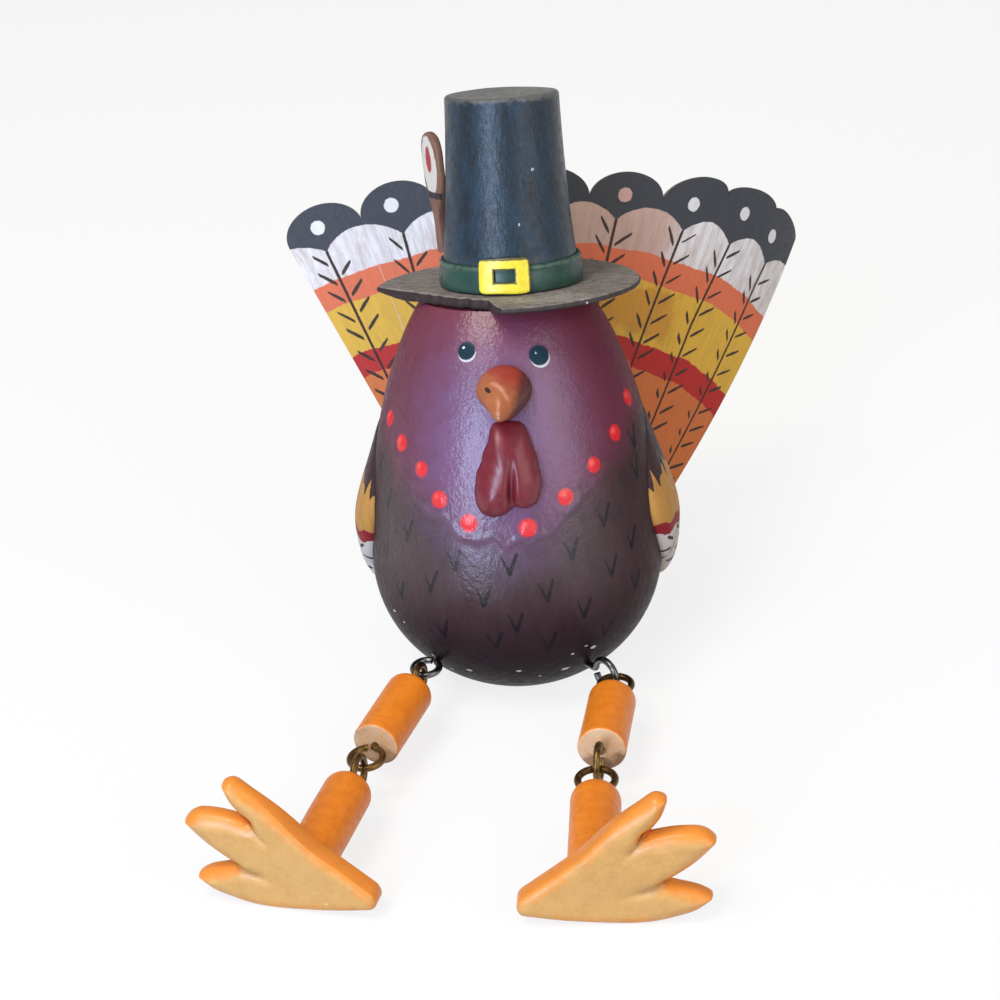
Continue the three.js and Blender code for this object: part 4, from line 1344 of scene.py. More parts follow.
FAN = Finish(
    "fan_paint", srgb(236, 234, 236), srgb(196, 178, 172), stretch=(1.0, 0.13, 1.0), scale=0.55, amount=0.8,
    rough=0.55, relief=0.1, shine=0.3, lanes=("run", "below"),
    coats=(
        # a tan-pink tint over feathers 4 and 5, beside the hat
        Coat("tan", srgb(196, 154, 136), soft=6.0, ragged=1.2, grain=0.2, cover=0.8, streak=0.5),
        Coat("coral", srgb(226, 118, 82), soft=0.2, ragged=0.3),
        Coat("yellow", srgb(230, 182, 70), soft=0.2, ragged=0.3, streak=0.6),
        Coat("wash", srgb(204, 138, 52), soft=2.0, ragged=3.0, grain=0.16, cover=0.7, streak=0.6),
        Coat("red", srgb(190, 46, 42), soft=0.2, ragged=0.3),
        Coat("orange", srgb(218, 122, 66), soft=0.2, ragged=0.3, streak=0.5),
        Coat("seam", srgb(226, 206, 190), soft=0.1, ragged=0.12, cover=0.55),
        Coat("quill", srgb(58, 38, 30), soft=0.12, ragged=0.08, grain=0.8),
        Coat("barbs", srgb(58, 42, 36), soft=0.12, ragged=0.07, grain=0.8),
        Coat("cap", srgb(62, 65, 72), soft=0.16, ragged=0.16),
        Coat("dot", srgb(232, 230, 230), soft=0.16, ragged=0.12),
        # the dot beside the hat takes the same tan-pink tint
        Coat("dot_tint", srgb(204, 158, 146), soft=0.16, ragged=0.12, cover=0.9),
        Coat("behind", srgb(96, 74, 58), soft=0.4, ragged=0.2, streak=0.8),
        Coat("stain", srgb(128, 102, 78), soft=1.2, ragged=3.0, grain=0.07, cover=0.55, streak=0.8),
    ),
)


@dataclass
class Hat:
    """Tall buckled hat: broken brim, flared crown, band, buckle and a paddle feather."""

    seat: float = 110.9  # height of the egg's flat under it
    gap: float = 0.3  # clearance between its pieces
    brim_radius: float = 36.0
    brim_shift: float = 1.0  # the brim's place to the right of the axis
    brim_thick: float = 3.0
    brim_soft: float = 1.0  # radius of the round at the brim's edge
    break_edge: Pairs = (  # the broken edge, as azimuths in degrees and distances from the middle
        (-94.0, 37.0), (-86.0, 32.2), (-79.0, 28.9), (-70.0, 26.0), (-60.0, 24.1), (-50.0, 23.0),
        (-38.0, 22.6), (-26.0, 22.7), (-14.0, 23.2), (-7.5, 24.0), (-4.0, 27.5), (0.0, 33.0), (4.0, 37.0),
    )
    crown_shift: float = 2.2  # the crown's place to the right of the axis
    crown_foot: float = 18.7  # the crown's radius at its foot
    crown_head: float = 15.1  # its radius at its top
    crown_tall: float = 50.4
    flare: float = 1.5  # how sharply it widens towards its foot
    band_tall: float = 6.9
    band_thick: float = 0.7
    buckle_wide: float = 12.9
    buckle_tall: float = 9.2
    buckle_bar: float = 3.3  # width of its bars
    buckle_thick: float = 0.9
    feather_tall: float = 32.8
    feather_wide: float = 12.0  # its paddle's width
    feather_stem: float = 3.2
    feather_thick: float = 2.6
    feather_turn: float = math.radians(-107.0)  # its azimuth on the crown
    feather_facing: float = math.radians(-62.0)  # azimuth that its face looks to
    feather_lean: float = math.radians(6.0)  # how far it leans away from the crown

    @property
    def crown_base(self) -> float:
        """Height of the crown's foot."""
        return self.seat + self.brim_thick + 2 * self.gap

    def crown_at(self, height: Array) -> Array:
        """The crown's radius at a height: it narrows upwards, faster near the foot."""
        share = np.clip(1 - (height - self.crown_base) / self.crown_tall, 0.0, 1.0)
        return self.crown_head + (self.crown_foot - self.crown_head) * share**self.flare

    def brim(self, material: bpy.types.Material) -> None:
        """Makes the brim: rings from the middle of its top, round its rim, to the middle below.

        Args:
            material: its paint.
        """
        turn = np.linspace(-math.pi, math.pi, 480, endpoint=False)[None]
        broken = np.interp(np.degrees(turn), *np.array(self.break_edge).T)
        broken = broken + 0.3 * ripple(self.brim_radius * turn, low=0.2, high=1.2, key=5)
        outer = np.minimum(self.brim_radius, broken)
        half = self.brim_thick / 2
        arc = np.radians(np.linspace(90, -90, 15))[:, None]
        flat = np.linspace(0.08, 1, 34)[:-1, None]
        even = np.ones_like(flat)
        share = np.concatenate([flat, np.ones_like(arc), flat[::-1]])
        edge = np.concatenate([0 * even, np.cos(arc), 0 * even])
        reach = share * (outer - self.brim_soft) + self.brim_soft * edge
        level = half * np.concatenate([even, np.sin(arc), -even])
        thin = 0.45 * smooth(27.0, self.brim_radius, reach)
        lower = np.where(level < half, (half - level) * thin, 0.0)
        sideways, forward = reach * np.sin(turn), reach * np.cos(turn)
        sag = 0.35 * ripple(sideways, forward, low=0.04, high=0.12, key=6) * smooth(20, 36, reach)
        middle = self.seat + self.gap + half
        height = middle + level + lower + sag * 0.6
        dusty = np.hypot(sideways - 12.0, (forward - 24.0) * 1.6) - 11.0
        raw = np.where(broken < self.brim_radius, outer - reach - 0.9, FAR)
        fields = {
            "dust": np.maximum(dusty, 23.0 - reach) + 0.8,
            "under": level + 0.6 + 0 * reach,
            "rim": outer - reach - 0.5 + smooth(0.9, 1.4, level) * 0.6,
            "broken": raw + smooth(1.0, 1.45, level),
        }
        shape = Shell(leaned(sideways + self.brim_shift, forward, height), fields).closed()
        make_piece("worn_brim", shape, material, "torso", "hat_brim", 60.0)

    def crown(self, material: bpy.types.Material) -> None:
        """Makes the crown: its flared wall, a soft top edge and a slightly uneven top.

        Args:
            material: its paint.
        """
        low, high = self.crown_base, self.crown_base + self.crown_tall
        wall = np.linspace(low, high - 1.3, 60)
        profile = [[self.crown_at(h), h] for h in wall]
        profile += rounded_edge(self.crown_head + 0.05, high, 1.2, True)[1:]
        profile += [[r, high] for r in np.linspace(self.crown_head - 1.2, 0.6, 12)[1:]]
        profile = [[r, low] for r in np.linspace(4.5, self.crown_foot, 8)[:-1]] + profile
        sideways, forward, height = lathe(profile, 144)
        uneven = ripple(sideways, forward, height, low=0.04, high=0.16, key=7)
        wobble = 1 + 0.010 * uneven * smooth(low, low + 12, height)
        dents = 1 + ripple(sideways, forward, low=0.1, high=0.25, key=8)
        height = height - 0.25 * smooth(high - 4, high, height) * dents
        fields = {"top_wear": high - 1.0 - height, "foot_wear": height - low - self.band_tall - 2.0}
        shape = Shell(leaned(sideways * wobble + self.crown_shift, forward * wobble, height), fields).closed()
        make_piece("tall_crown", shape, material, "torso", "hat_crown", 50.0)

    def band(self, material: bpy.types.Material) -> None:
        """Makes the band: a thin strip with a rolled upper edge, carried round the crown.

        Args:
            material: its paint.
        """
        low = self.crown_base + self.gap
        high = low + self.band_tall
        level = np.concatenate([np.linspace(low, high, 16), np.linspace(high, low, 8)])
        bulge = np.concatenate([np.sin(np.linspace(0.25, math.pi - 0.2, 16)) ** 0.4, np.zeros(8)])
        roll = 0.28 * bell(level - high + 0.7, 0.6) * (bulge > 0)
        grow = self.gap + bulge * self.band_thick + roll
        profile = np.stack([self.crown_at(level) + grow, level], axis=1)
        sideways, forward, height = lathe(profile, 144)
        # painted highlight along the rolled upper edge
        fields = {"ridge": np.abs(height - high + 0.6) - 0.35}
        shape = Shell(leaned(sideways + self.crown_shift, forward, height), fields).looped()
        make_piece("green_band", shape, material, "torso", "hat_band", 60.0)

    def buckle(self, material: bpy.types.Material) -> None:
        """Makes the buckle: a soft square profile carried round a square and bent to the band.

        Args:
            material: its paint.
        """
        low = self.crown_base + self.gap
        middle = low + self.buckle_tall / 2
        box = np.stack(squircle(around(120), 9), axis=1)
        wave = 1 + 0.02 * ripple(box[:, 0] * 9, box[:, 1] * 9, low=0.2, high=0.7, key=9)[:, None]
        bar, thick = squircle(around(28), 4)
        whole = np.array([self.buckle_wide, self.buckle_tall]) / 2
        inner = whole - self.buckle_bar + np.array([-0.6, 0.4])
        share = (bar[None, :, None] + 1) / 2
        flat = box[:, None] * (inner + ((whole * wave)[:, None] - inner) * share)
        height = middle + flat[..., 1]
        base = 2 * self.gap + self.band_thick + self.buckle_thick / 2
        out = self.crown_at(height) + base + thick[None] * self.buckle_thick / 2
        azimuth = flat[..., 0] / self.crown_foot
        reach = np.max(np.abs(flat) / whole, axis=-1)
        # painted shade along the right and top edges; the opening keeps the painted outline
        right = np.max(flat - whole, axis=-1) + 0.55
        hole = np.max(np.abs(flat) - inner, axis=-1) - 0.35
        fields = {"outline": np.minimum(hole, np.where(reach > 0.6, -right, FAR))}
        sideways = out * np.sin(azimuth) + self.crown_shift
        shape = Shell(leaned(sideways, out * np.cos(azimuth), height), fields).looped()
        make_piece("square_buckle", shape, material, "torso", "hat_buckle", 60.0)

    def feather(self, material: bpy.types.Material) -> None:
        """Makes the feather: a lens-shaped profile carried up a stem that widens to a paddle.

        Args:
            material: its paint.
        """
        low = self.crown_base + 2 * self.gap + self.band_tall
        share = (1 - np.cos(np.linspace(0.05, math.pi - 0.02, 90))) / 2
        rise = share * self.feather_tall
        head = smooth(8.0, 20.0, rise)
        cap = np.sqrt(np.clip(1 - ((rise - self.feather_tall + 6) / 6).clip(0, 1) ** 2, 0.0, 1.0))
        wide = self.feather_stem + (self.feather_wide - self.feather_stem) * head
        across, depth = squircle(around(40)[None], 4)
        across = across * (wide / 2 * np.maximum(cap, 0.05))[:, None]
        depth = depth * self.feather_thick / 2 * np.minimum(1.0, 0.35 + cap)[:, None]
        stand = self.crown_at(np.array(low)) + self.gap + self.feather_thick / 2
        facing = np.array([math.sin(self.feather_facing), math.cos(self.feather_facing)])
        ahead = np.array([-facing[1], facing[0]])
        tilt, stood = math.sin(self.feather_lean) * 0.55, math.cos(self.feather_lean)
        thick = depth - self.feather_thick / 2
        lift = rise[:, None] * tilt + thick * stood + self.feather_thick / 2
        sideways = stand * math.sin(self.feather_turn) + lift * facing[0] - across * ahead[0]
        forward = stand * math.cos(self.feather_turn) + lift * facing[1] - across * ahead[1]
        away = np.hypot(sideways, forward)
        height = low + rise[:, None] * stood - thick * tilt + 0 * across
        push = np.maximum(self.crown_at(height) + self.gap, away) / away
        outer = np.where(depth > 0.4, 0.0, FAR)
        level = rise[:, None] - (self.feather_tall - 7.4)
        fields = {
            "face": (np.hypot(across / 4.9, (level + 1.5) / 8.0) - 1.0) * 4.0 + outer,
            "heart": (np.hypot(across / 1.9, level / 3.6) - 1.0) * 2.0 + outer,
            "bar": np.abs(level + 9.6) - 0.9 + outer,
        }
        shape = Shell(leaned(sideways * push + self.crown_shift, forward * push, height), fields).closed()
        make_piece("paddle_feather", shape, material, "torso", "hat_feather", 60.0)


LEG = Finish(
    "leg_paint", srgb(236, 136, 36), srgb(212, 108, 26), scale=0.35, rough=0.42, relief=0.12, gloss=0.1,
    shine=0.3, flecks=srgb(236, 178, 108), fleck_spread=0.66,
    coats=(
        # on the legs this coat is worn paint at the dowels' ends
        Coat("worn", srgb(214, 160, 104), soft=0.35, ragged=0.4, grain=0.7, cover=0.8),
        Coat("bare", BARE_WOOD, soft=0.25, ragged=0.15),
        Coat("dirt", srgb(112, 78, 56), soft=1.0, ragged=0.9, grain=0.7, cover=0.75),
    ),
)

FOOT = Finish(
    "foot_paint", srgb(214, 164, 96), srgb(198, 142, 74), scale=0.2, rough=0.42, relief=0.16, gloss=0.3,
    flecks=srgb(232, 196, 140), fleck_spread=0.66,
    coats=(
        Coat("edge", srgb(238, 138, 38), soft=0.9, ragged=0.5, grain=0.3, cover=0.9),
        # painted shade: darker lines along the grooves between the toes
        Coat("crease", srgb(150, 96, 54), soft=0.6, ragged=0.4, grain=0.5, cover=0.5),
    ),
)

STEEL = Finish(
    "steel_wire", srgb(122, 122, 124), srgb(78, 76, 74), scale=0.9, amount=0.7, rough=0.3, spread=0.1,
    relief=0.05, metallic=1.0,
)

BRONZE = Finish(
    "bronze_wire", srgb(138, 108, 64), srgb(84, 64, 40), scale=0.7, amount=0.9, rough=0.38, relief=0.05,
    metallic=1.0,
)

WOOD = Finish("bare_wood", BARE_WOOD, srgb(196, 152, 112), stretch=(1.0, 1.0, 0.2), scale=0.5, rough=0.6)


@dataclass
class Leg:
    """One dangling leg: two dowels and a flat foot, linked by four screw eyes."""

    egg: EggBody
    side: Side
    hip_turn: float  # the hip eye's azimuth, outwards from the front
    hip_height: float  # the hip eye's height on the egg
    hip_neck: float  # clear wire between the egg and the hip eye's ring
    hip_ring: float  # radius of both hip rings' middle lines
    knee_ring: float  # radius of both knee rings' middle lines
    thigh_splay: float  # how far the thigh points outwards
    ankle_splay: float  # how far the ankle points outwards
    first_flat: bool  # whether the hip eye's ring lies flat, and every other one after it
    wire: float = 0.95  # the wire's radius
    neck: float = 0.6  # clear wire between the other rings and the wood
    play: float = 0.3  # clearance between linked wires
    shank: float = 8.5  # length of wire in the wood
    dowel: float = 6.35  # the dowels' radius
    thigh_long: float = 25.0
    thigh_round: float = 2.4  # radius of the round at its top
    ankle_long: float = 31.0
    ankle_round: float = 3.6  # radius of the round at its top
    ankle_height: float = 11.0  # height of the ankle's middle above the floor
    glue: float = 0.3  # clearance between the ankle and the foot
    foot_thick: float = 6.6
    foot_heart: tuple[float, float] = (3.5, 14.0)  # point that the foot's rings grow from, outwards and up
    # the foot's corners, outwards and up, and how far each is rounded
    foot_edge: tuple[tuple[float, float, float], ...] = (
        (-18.4, 6.6, 1.9), (-18.2, 3, 1.9), (-6.3, 1, 4), (5.2, 0, 4), (15.5, 0.1, 4), (23.6, 2.2, 3),
        (28.2, 6.0, 1.2), (25.2, 8.3, 2.2), (16.4, 10.9, 1.2), (24.4, 16.4, 3.6), (29.3, 22.2, 1.2),
        (26.4, 25.2, 2.4), (20.0, 25.4, 3), (11.7, 23.8, 1.2), (16.4, 28.6, 2.6), (18.2, 34.0, 1.2),
        (15.2, 35.4, 1.8), (6.6, 28.6, 4), (-3.2, 18.3, 4),
    )
    foot_creases: tuple[tuple[float, float, float, float], ...] = (  # grooves between its toes
        (12.6, 24.4, 7.2, 19.6), (17.0, 11.2, 6.6, 8.2),
    )

    def seat(self, ring: float, neck: float | None = None) -> float:
        """How far a ring's middle stands off the surface that it is screwed into."""
        return ring + self.wire + (self.neck if neck is None else neck)

    def link(self, ring: float) -> float:
        """How far two linked rings' middles are past each other's wire."""
        return ring - 2 * self.wire - self.play

    def heading(self, splay: float) -> Array:
        """The level direction that a limb points in."""
        return np.array([self.side.value * math.sin(splay), -math.cos(splay), 0.0])

    def build(self, paint: dict[str, bpy.types.Material]) -> None:
        """Places the leg's pieces from the hip down to the foot.

        Args:
            paint: materials by slot name.
        """
        leg, foot = f"{self.side.word}_leg", f"{self.side.word}_foot"
        radius = self.egg.radius_at(np.array(self.hip_height))
        azimuth = self.side.value * self.hip_turn
        root = leaned(radius * math.sin(azimuth), radius * math.cos(azimuth), np.array(self.hip_height))
        hip_bend, knee_bend = self.hip_turn - self.thigh_splay, self.ankle_splay - self.thigh_splay
        hip_seat = self.seat(self.hip_ring, self.hip_neck)
        reach = hip_seat * math.cos(hip_bend) + self.hip_ring * (1 if self.first_flat else math.cos(hip_bend))
        reach += self.link(self.hip_ring) + self.seat(self.hip_ring) + self.thigh_long
        reach += self.seat(self.knee_ring) + self.knee_ring * (math.cos(knee_bend) if self.first_flat else 1)
        slope = math.asin((float(root[2]) - self.ankle_height) / reach)
        ahead = self.heading(self.thigh_splay)
        along = ahead * math.cos(slope) - UP * math.sin(slope)
        outward = self.side.value * np.cross(UP, ahead)
        upright = np.cross(-self.side.value * outward, along)
        hip_way = along * math.cos(hip_bend) + outward * math.sin(hip_bend)
        knee_way = along * math.cos(knee_bend) + outward * math.sin(knee_bend)
        level = self.heading(self.ankle_splay)

        hip = root + hip_way * hip_seat
        hip_link = hip + (along if self.first_flat else hip_way) * self.hip_ring
        upper = hip_link + along * self.link(self.hip_ring)
        thigh_top = upper + along * self.seat(self.hip_ring)
        lower = thigh_top + along * (self.thigh_long + self.seat(self.knee_ring))
        knee_link = lower + (knee_way if self.first_flat else along) * self.knee_ring
        ankle = knee_link + level * self.link(self.knee_ring)
        ankle_top = ankle + level * self.seat(self.knee_ring)
        sole = ankle_top + level * (self.ankle_long + self.glue)

        def across(flat: bool, way: Array) -> Array:
            """A ring's direction across its shank, for a ring that lies flat or stands upright."""
            return np.cross(upright, way) if flat else upright

        flat, hip_ring, knee_ring = self.first_flat, self.hip_ring, self.knee_ring
        last = UP if flat else np.cross(UP, level)
        turned = across(flat, hip_way)
        self.eye("hip_eye", hip, hip_way, turned, hip_ring, paint, "torso", "steel", self.hip_neck)
        self.eye("thigh_upper_eye", upper, -along, across(not flat, along), hip_ring, paint, leg)
        self.eye("thigh_lower_eye", lower, along, across(flat, along), knee_ring, paint, leg)
        self.eye("ankle_eye", ankle, -level, last, knee_ring, paint, foot)
        self.rod("thigh", thigh_top, along, self.thigh_long, self.thigh_round, paint["leg"], leg)
        self.rod("ankle", ankle_top, level, self.ankle_long, self.ankle_round, paint["leg"], foot)
        self.foot(sole, level, paint["foot"], foot)

    def eye(
        self,
        part: str,
        middle: Array,
        out: Array,
        across: Array,
        ring: float,
        paint: dict[str, bpy.types.Material],
        body: str,
        slot: str = "bronze",
        neck: float | None = None,
    ) -> None:
        """Makes a screw eye: a threaded shank whose wire bends into a nearly closed ring.

        Args:
            part: the piece's name without its side.
            middle: the ring's middle.
            out: the way from the shank to the ring.
            across: the ring's other direction.
            ring: radius of the ring's middle line.
            paint: materials by slot name.
            body: the body that it moves with.
            slot: its material slot.
            neck: clear wire between ring and wood, if not the usual.
        """
        out, across = out / np.linalg.norm(out), across / np.linalg.norm(across)
        first, last = math.radians(14), math.radians(341)
        turn = np.linspace(first, last, 72)[:, None]
        hoop = ring * (-np.cos(turn) * out + np.sin(turn) * across)
        foot = self.seat(ring, neck) + self.shank
        start, bend = -(ring + 1.2), np.linspace(0, 1, 12)[1:-1, None]
        tangent = math.sin(first) * out + math.cos(first) * across
        p0, p1 = start * out, (start + 0.7) * out
        p2, p3 = hoop[0] - 0.6 * tangent, hoop[0]
        rest = 1 - bend
        curve = rest**3 * p0 + 3 * rest**2 * bend * p1 + 3 * rest * bend**2 * p2 + bend**3 * p3
        stem = np.linspace(-foot, start, 60)[:, None] * out
        path = middle + np.concatenate([stem, curve, hoop])
        sunk = np.linspace(0, 1, len(stem))
        thread = np.where(sunk < 0.62, 1 - 0.16 * (np.sin(sunk * 60) > 0), 1.0)
        thread = thread * smooth(-0.02, 0.14, sunk)
        radius = self.wire * np.concatenate([np.maximum(thread, 0.25), np.ones(len(path) - len(stem))])
        shape = Shell(tube(path, radius, 20, np.cross(out, across))).closed()
        node = f"{self.side.word}_{part}"
        make_piece(f"{node}_wire", shape, paint[slot], body, node, 60.0)

    def rod(
        self,
        part: str,
        top: Array,
        way: Array,
        length: float,
        soft: float,
        material: bpy.types.Material,
        body: str,
    ) -> None:
        """Makes a dowel with a rounded upper end and a barely broken lower edge.

        Args:
            part: thigh or ankle.
            top: middle of its upper end.
            way: its direction, downwards.
            length: its length.
            soft: radius of the upper end's round.
            material: its paint.
            body: the body that it moves with.
        """
        profile = [[r, 0.0] for r in np.linspace(0.8, self.dowel - soft, 8)[:-1]]
        profile += rounded_edge(self.dowel, 0.0, soft, False, 10)
        profile += [[self.dowel, h] for h in np.linspace(soft, length - 0.6, 24)[1:]]
        profile += rounded_edge(self.dowel, length, 0.6, True, 4)[1:]
        profile += [[r, length] for r in np.linspace(self.dowel - 0.6, 0.8, 10)[1:]]
        right, front, run = lathe(profile, 72)
        span = np.hypot(right, front)
        wobble = 1 + 0.008 * ripple(right, front, run, low=0.1, high=0.4, key=20 + self.side.value)
        third = np.cross(way, UP)
        third /= np.linalg.norm(third)
        upper = np.cross(third, way)
        points = top + run[..., None] * way + (right * wobble)[..., None] * third
        points = points + (front * wobble)[..., None] * upper
        bare = length - 0.15 - run if part == "thigh" else np.full(run.shape, FAR)
        patch = 1.5 * ripple(right, front, low=0.3, high=0.8, key=24 + self.side.value)
        shoulder = np.abs(run - soft * 0.4) * 0.7 + np.abs(span - self.dowel + soft * 0.4)
        fields = {
            "worn": np.minimum(shoulder, length - run + 0.1),
            "bare": bare,
            "dirt": np.where(bare < 0.3, patch + 1.5 + 0.35 * front, FAR),
        }
        shape = Shell(points, fields).closed()
        node = f"{self.side.word}_{part}"
        make_piece(f"{node}_dowel", shape, material, body, node, 55.0)

    def outline(self) -> Array:
        """The foot's outline, its corners rounded.

        Returns:
            Points of (outwards, up), in order round the foot.
        """
        corners = np.array(self.foot_edge)
        spot, reach = corners[:, :2], corners[:, 2:]
        back, fore = np.roll(spot, 1, axis=0) - spot, np.roll(spot, -1, axis=0) - spot
        before = spot + back * reach / np.linalg.norm(back, axis=1, keepdims=True)
        after = spot + fore * reach / np.linalg.norm(fore, axis=1, keepdims=True)
        share = np.linspace(0, 1, 9)[None, :, None]
        curves = (1 - share) ** 2 * before[:, None] + 2 * share * (1 - share) * spot[:, None]
        curves = curves + share**2 * after[:, None]
        return densify(np.concatenate([curves.reshape(-1, 2), curves[0, :1]]), 1.0)

    def foot(self, back: Array, level: Array, material: bpy.types.Material, body: str) -> None:
        """Makes the foot: a board with rounded edges, as rings from its middle round both faces.

        Args:
            back: middle of the ankle's end on the foot's back.
            level: the way that the sole faces.
            material: its paint.
            body: the body that it moves with.
        """
        edge = self.outline()
        heart = np.array(self.foot_heart)
        a, b = edge[:-1] - heart, edge[1:] - heart
        angles = np.unwrap(np.arctan2(a[:, 1], a[:, 0]))
        rays = np.sort(np.mod(np.concatenate([angles, around(240)]), FULL_TURN))
        ways = np.stack([np.cos(rays), np.sin(rays)], axis=1)
        run = b - a
        cross = ways[:, None, 0] * run[None, :, 1] - ways[:, None, 1] * run[None, :, 0]
        cross = np.where(np.abs(cross) < 1e-9, 1e-9, cross)
        span = (a[None, :, 0] * run[None, :, 1] - a[None, :, 1] * run[None, :, 0]) / cross
        share = (a[None, :, 0] * ways[:, None, 1] - a[None, :, 1] * ways[:, None, 0]) / cross
        hit = (span > 0) & (share > -1e-6) & (share < 1 + 1e-6)
        outer = np.where(hit, span, 1e6).min(axis=1)
        grow = np.concatenate([np.linspace(0.06, 0.7, 16), np.linspace(0.7, 1.0, 26)[1:]])[:, None]
        out = heart[0] + grow * outer * ways[:, 0]
        rise = heart[1] + grow * outer * ways[:, 1]
        gap = segment_distance(out, rise, np.concatenate([edge[:-1], edge[1:]], axis=1))
        toes = smooth(4.0, 18.0, out + 0.35 * (rise - heart[1]))
        near_edge = 1 - np.clip(gap / (2.6 + 1.6 * toes), 0.0, 1.0)
        drop = (1.5 + 1.9 * toes) * (1 - np.sqrt(1 - near_edge**2))
        crease = segment_distance(out, rise, self.foot_creases)
        front = self.foot_thick - drop + 0.12 * ripple(out, rise, low=0.1, high=0.4, key=30)
        front = front - 0.9 * bell(crease, 1.3) * smooth(5.0, 12.0, out)
        rear = drop * 0.6
        sheet = np.stack([out, rise], axis=-1)
        grid = np.concatenate([sheet, sheet[::-1]])
        depth = np.concatenate([front, rear[::-1]])
        near = np.concatenate([gap, gap[::-1]])
        across = np.cross(UP, level) * self.side.value
        base = np.array([back[0], back[1], 0.0])
        points = base + grid[..., :1] * across + grid[..., 1:] * UP + depth[..., None] * level
        # painted shade along the grooves between the toes
        line = crease - 0.9 * smooth(6.0, 15.0, out)
        fields = {
            "edge": np.maximum(near - 1.7, depth - self.foot_thick + 0.5) * 0.8,
            "crease": np.concatenate([line, np.full(line.shape, FAR)]),
        }
        shape = Shell(points, fields).closed()
        word = self.side.word
        make_piece(f"{word}_toed_foot", shape, material, body, f"{word}_foot", 70.0)


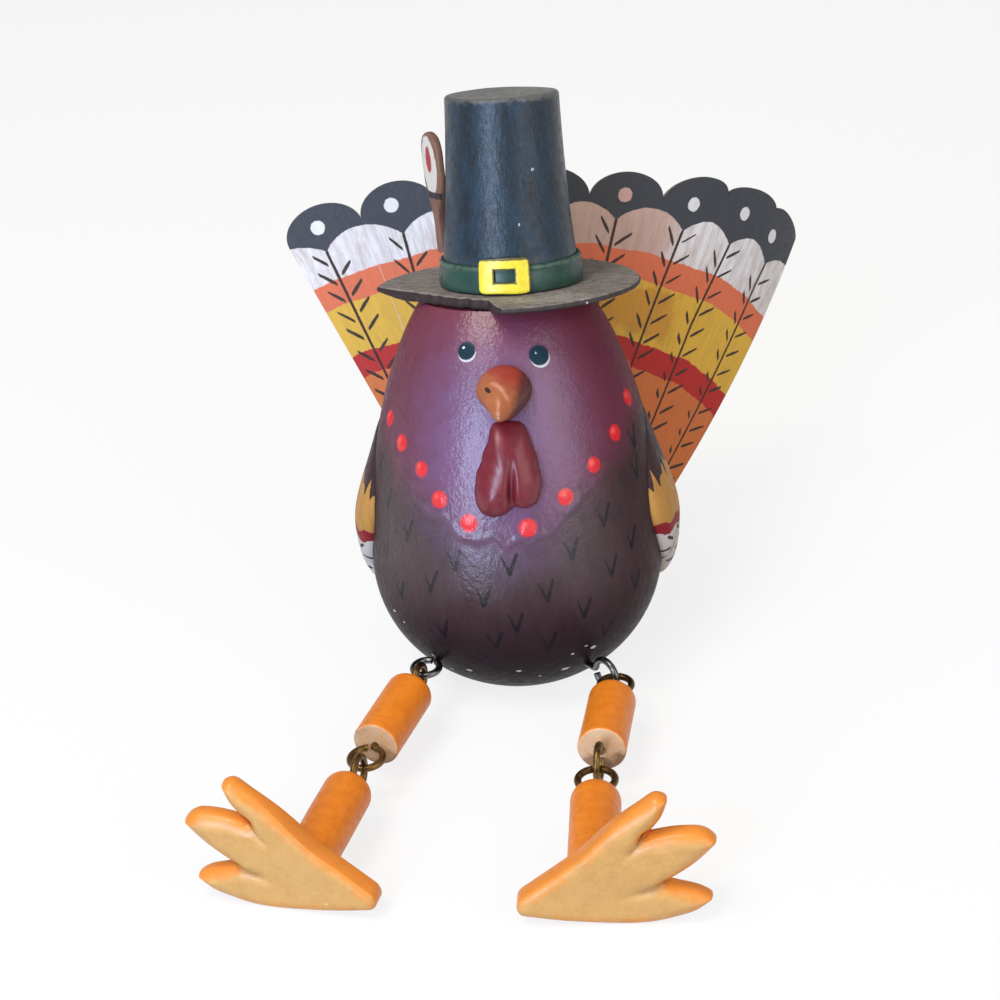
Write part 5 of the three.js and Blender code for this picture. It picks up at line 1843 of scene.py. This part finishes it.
@dataclass
class Studio:
    """Pale floor, soft lamps and the photograph's camera."""

    place: tuple[float, float, float] = (54.213, -515.210, 319.008)  # where the camera stands, in millimetres
    right: tuple[float, float, float] = (0.99478, 0.07495, -0.06927)  # the picture's right in the world frame
    up: tuple[float, float, float] = (0.02686, 0.46261, 0.88615)  # the picture's upward direction
    back: tuple[float, float, float] = (0.09846, -0.88339, 0.45818)  # the way from the figure to the camera
    lens: float = 76.73  # focal length in millimetres
    sensor: float = 36.0  # the sensor's width in millimetres
    sky: float = 0.36  # strength of the even light
    aim: tuple[float, float, float] = (0.0, 0.0, 0.08)  # point that the lamps face, in metres
    floor_half: float = 4.0  # half the floor's width, in metres
    floor_dark: RGB = (0.35, 0.35, 0.35)  # the floor's grey for rays that carry light on
    floor_pale: RGB = (0.92, 0.92, 0.92)  # the floor's grey for rays that are seen
    floor_glow: float = 0.8  # share of a seen floor that is plain white

    @staticmethod
    def stand(item: bpy.types.Object, axes: Array, place: Sequence[float]) -> None:
        """Puts an object in the scene.

        Args:
            item: the camera or lamp.
            axes: its own X, Y and Z directions, one per row.
            place: where it goes, in metres.
        """
        matrix = np.eye(4)
        matrix[:3, :3], matrix[:3, 3] = np.array(axes).T, place
        item.matrix_world = Matrix(matrix.tolist())
        bpy.context.scene.collection.objects.link(item)

    def camera(self) -> None:
        """Stands the camera where the photograph was taken from."""
        data = bpy.data.cameras.new("photo_view")
        data.lens, data.sensor_width = self.lens, self.sensor
        data.clip_start, data.clip_end = 0.01, 50.0
        camera = bpy.data.objects.new("photo_view", data)
        self.stand(camera, np.array([self.right, self.up, self.back]), np.array(self.place) * MM)
        bpy.context.scene.camera = camera

    @staticmethod
    def seen(graph: Graph) -> Socket:
        """Tells rays that are seen from those that carry light.

        Args:
            graph: where the nodes go.

        Returns:
            1 for rays from the camera, off gloss or through glass, and 0 for the others.
        """
        path = graph.add("LightPath").outputs
        total = graph.math("ADD", path["Is Camera Ray"], path["Is Glossy Ray"], clamp=True)
        return graph.math("ADD", total, path["Is Transmission Ray"], clamp=True)

    def floor(self) -> None:
        """Lays the pale floor, which shows nearly white and keeps the shadow."""
        material = bpy.data.materials.new("pale_floor")
        material.use_nodes = True
        graph = Graph(material.node_tree)
        shader = material.node_tree.nodes["Principled BSDF"]
        tint = graph.mix(self.seen(graph), self.floor_dark, self.floor_pale)
        graph.fill(shader.inputs, {"Base Color": tint, "Roughness": 0.9, "Specular IOR Level": 0.0})
        glow = graph.add("Emission", {"Color": (1.0, 1.0, 1.0), "Strength": 1.0})
        share = graph.math("MULTIPLY", self.seen(graph), self.floor_glow)
        both = graph.add("MixShader", {0: share, 1: shader.outputs[0], 2: glow.outputs[0]})
        graph.fill(material.node_tree.nodes["Material Output"].inputs, {"Surface": both.outputs[0]})
        mesh = bpy.data.meshes.new("floor")
        half = self.floor_half
        corners = [(-half, -half, 0), (half, -half, 0), (half, half, 0), (-half, half, 0)]
        mesh.from_pydata(corners, [], [(0, 1, 2, 3)])
        mesh.materials.append(material)
        floor = bpy.data.objects.new("floor", mesh)
        bpy.context.scene.collection.objects.link(floor)

    def world(self) -> None:
        """Fills the room with even light."""
        world = bpy.data.worlds.new("studio")
        world.use_nodes = True
        shade = world.node_tree.nodes["Background"]
        shade.inputs["Color"].default_value = (1.0, 1.0, 1.0, 1.0)
        shade.inputs["Strength"].default_value = self.sky
        bpy.context.scene.world = world

    def lamp(
        self, name: str, place: Sequence[float], size: Sequence[float], power: float, colour: RGB
    ) -> None:
        """Hangs a soft lamp that points at the middle of the figure.

        Args:
            name: the lamp's name.
            place: where it hangs, in metres.
            size: its width and height, in metres.
            power: its power in watts.
            colour: its tint.
        """
        data = bpy.data.lights.new(name, "AREA")
        data.color = colour
        data.shape, data.energy = "RECTANGLE", power
        data.size, data.size_y = size
        away = np.array(place) - np.array(self.aim)
        away /= np.linalg.norm(away)
        side = np.cross(UP, away)
        side /= np.linalg.norm(side)
        self.stand(bpy.data.objects.new(name, data), np.stack([side, np.cross(away, side), away]), place)

    def build(self) -> None:
        """Sets up the whole studio."""
        bpy.context.scene.view_settings.view_transform = "Standard"
        self.camera()
        self.floor()
        self.world()
        self.lamp("key", (-0.45, -0.5, 1.3), (0.6, 0.6), 10.5, (1.0, 0.92, 0.82))
        self.lamp("window", (-0.5, -1.15, 0.45), (0.42, 0.84), 14.0, (0.58, 0.74, 1.0))
        self.lamp("fill", (1.15, -0.95, 0.7), (1.2, 1.2), 9.5, (1.0, 0.94, 0.86))


def paint_nodes(frame: dict, material: bpy.types.Material, names: Sequence[str]) -> None:
    """Gives CAD pieces that keep their own shape a finish.

    Args:
        frame: the loaded frame.
        material: the finish.
        names: the CAD nodes.
    """
    for name in names:
        mesh = frame["nodes"][name].data
        mesh.materials.clear()
        mesh.materials.append(material)


def main() -> None:
    """Builds the figure around the frame, then the studio."""
    logging.basicConfig(level=logging.INFO, format="%(name)s: %(message)s")
    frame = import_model()
    trees = (brush_tone_group(), ragged_mask_group(), fleck_group(), barb_group())
    groups = {tree.name: tree for tree in trees}
    finishes = {
        "body": BODY, "beak": BEAK, "wattle": WATTLE, "wing": WING, "fan": FAN, "hat": HAT, "brim": BRIM,
        "band": BAND, "buckle": BUCKLE, "feather": FEATHER, "leg": LEG, "foot": FOOT, "steel": STEEL,
        "bronze": BRONZE, "wood": WOOD,
    }
    paint = {name: finish.material(groups) for name, finish in finishes.items()}
    fan = TailFan()
    egg = EggBody(fan)
    fan.build(paint["fan"])
    egg.build(paint["body"])
    face = Face(egg)
    face.beak(paint["beak"])
    face.wattle(paint["wattle"])
    for side in Side:
        Wing(egg, side).build(paint["wing"])
    hat = Hat()
    hat.brim(paint["brim"])
    hat.crown(paint["hat"])
    hat.band(paint["band"])
    hat.buckle(paint["buckle"])
    hat.feather(paint["feather"])
    left = Leg(
        egg, Side.LEFT, hip_turn=math.radians(40.5), hip_height=15.0, hip_neck=0.6, hip_ring=3.55,
        knee_ring=4.25, thigh_splay=math.radians(16.5), ankle_splay=math.radians(11.3), first_flat=True,
    )
    right = Leg(
        egg, Side.RIGHT, hip_turn=math.radians(41.5), hip_height=12.0, hip_neck=2.8, hip_ring=4.25,
        knee_ring=4.7, thigh_splay=math.radians(-5.0), ankle_splay=math.radians(1.0), first_flat=False,
    )
    for leg in (left, right):
        leg.build(paint)
    paint_nodes(frame, paint["steel"], ["fan_screw_upper", "fan_screw_lower"])
    paint_nodes(frame, paint["wood"], ["hat_pin"])
    Studio().build()


if __name__ == "__main__":
    main()
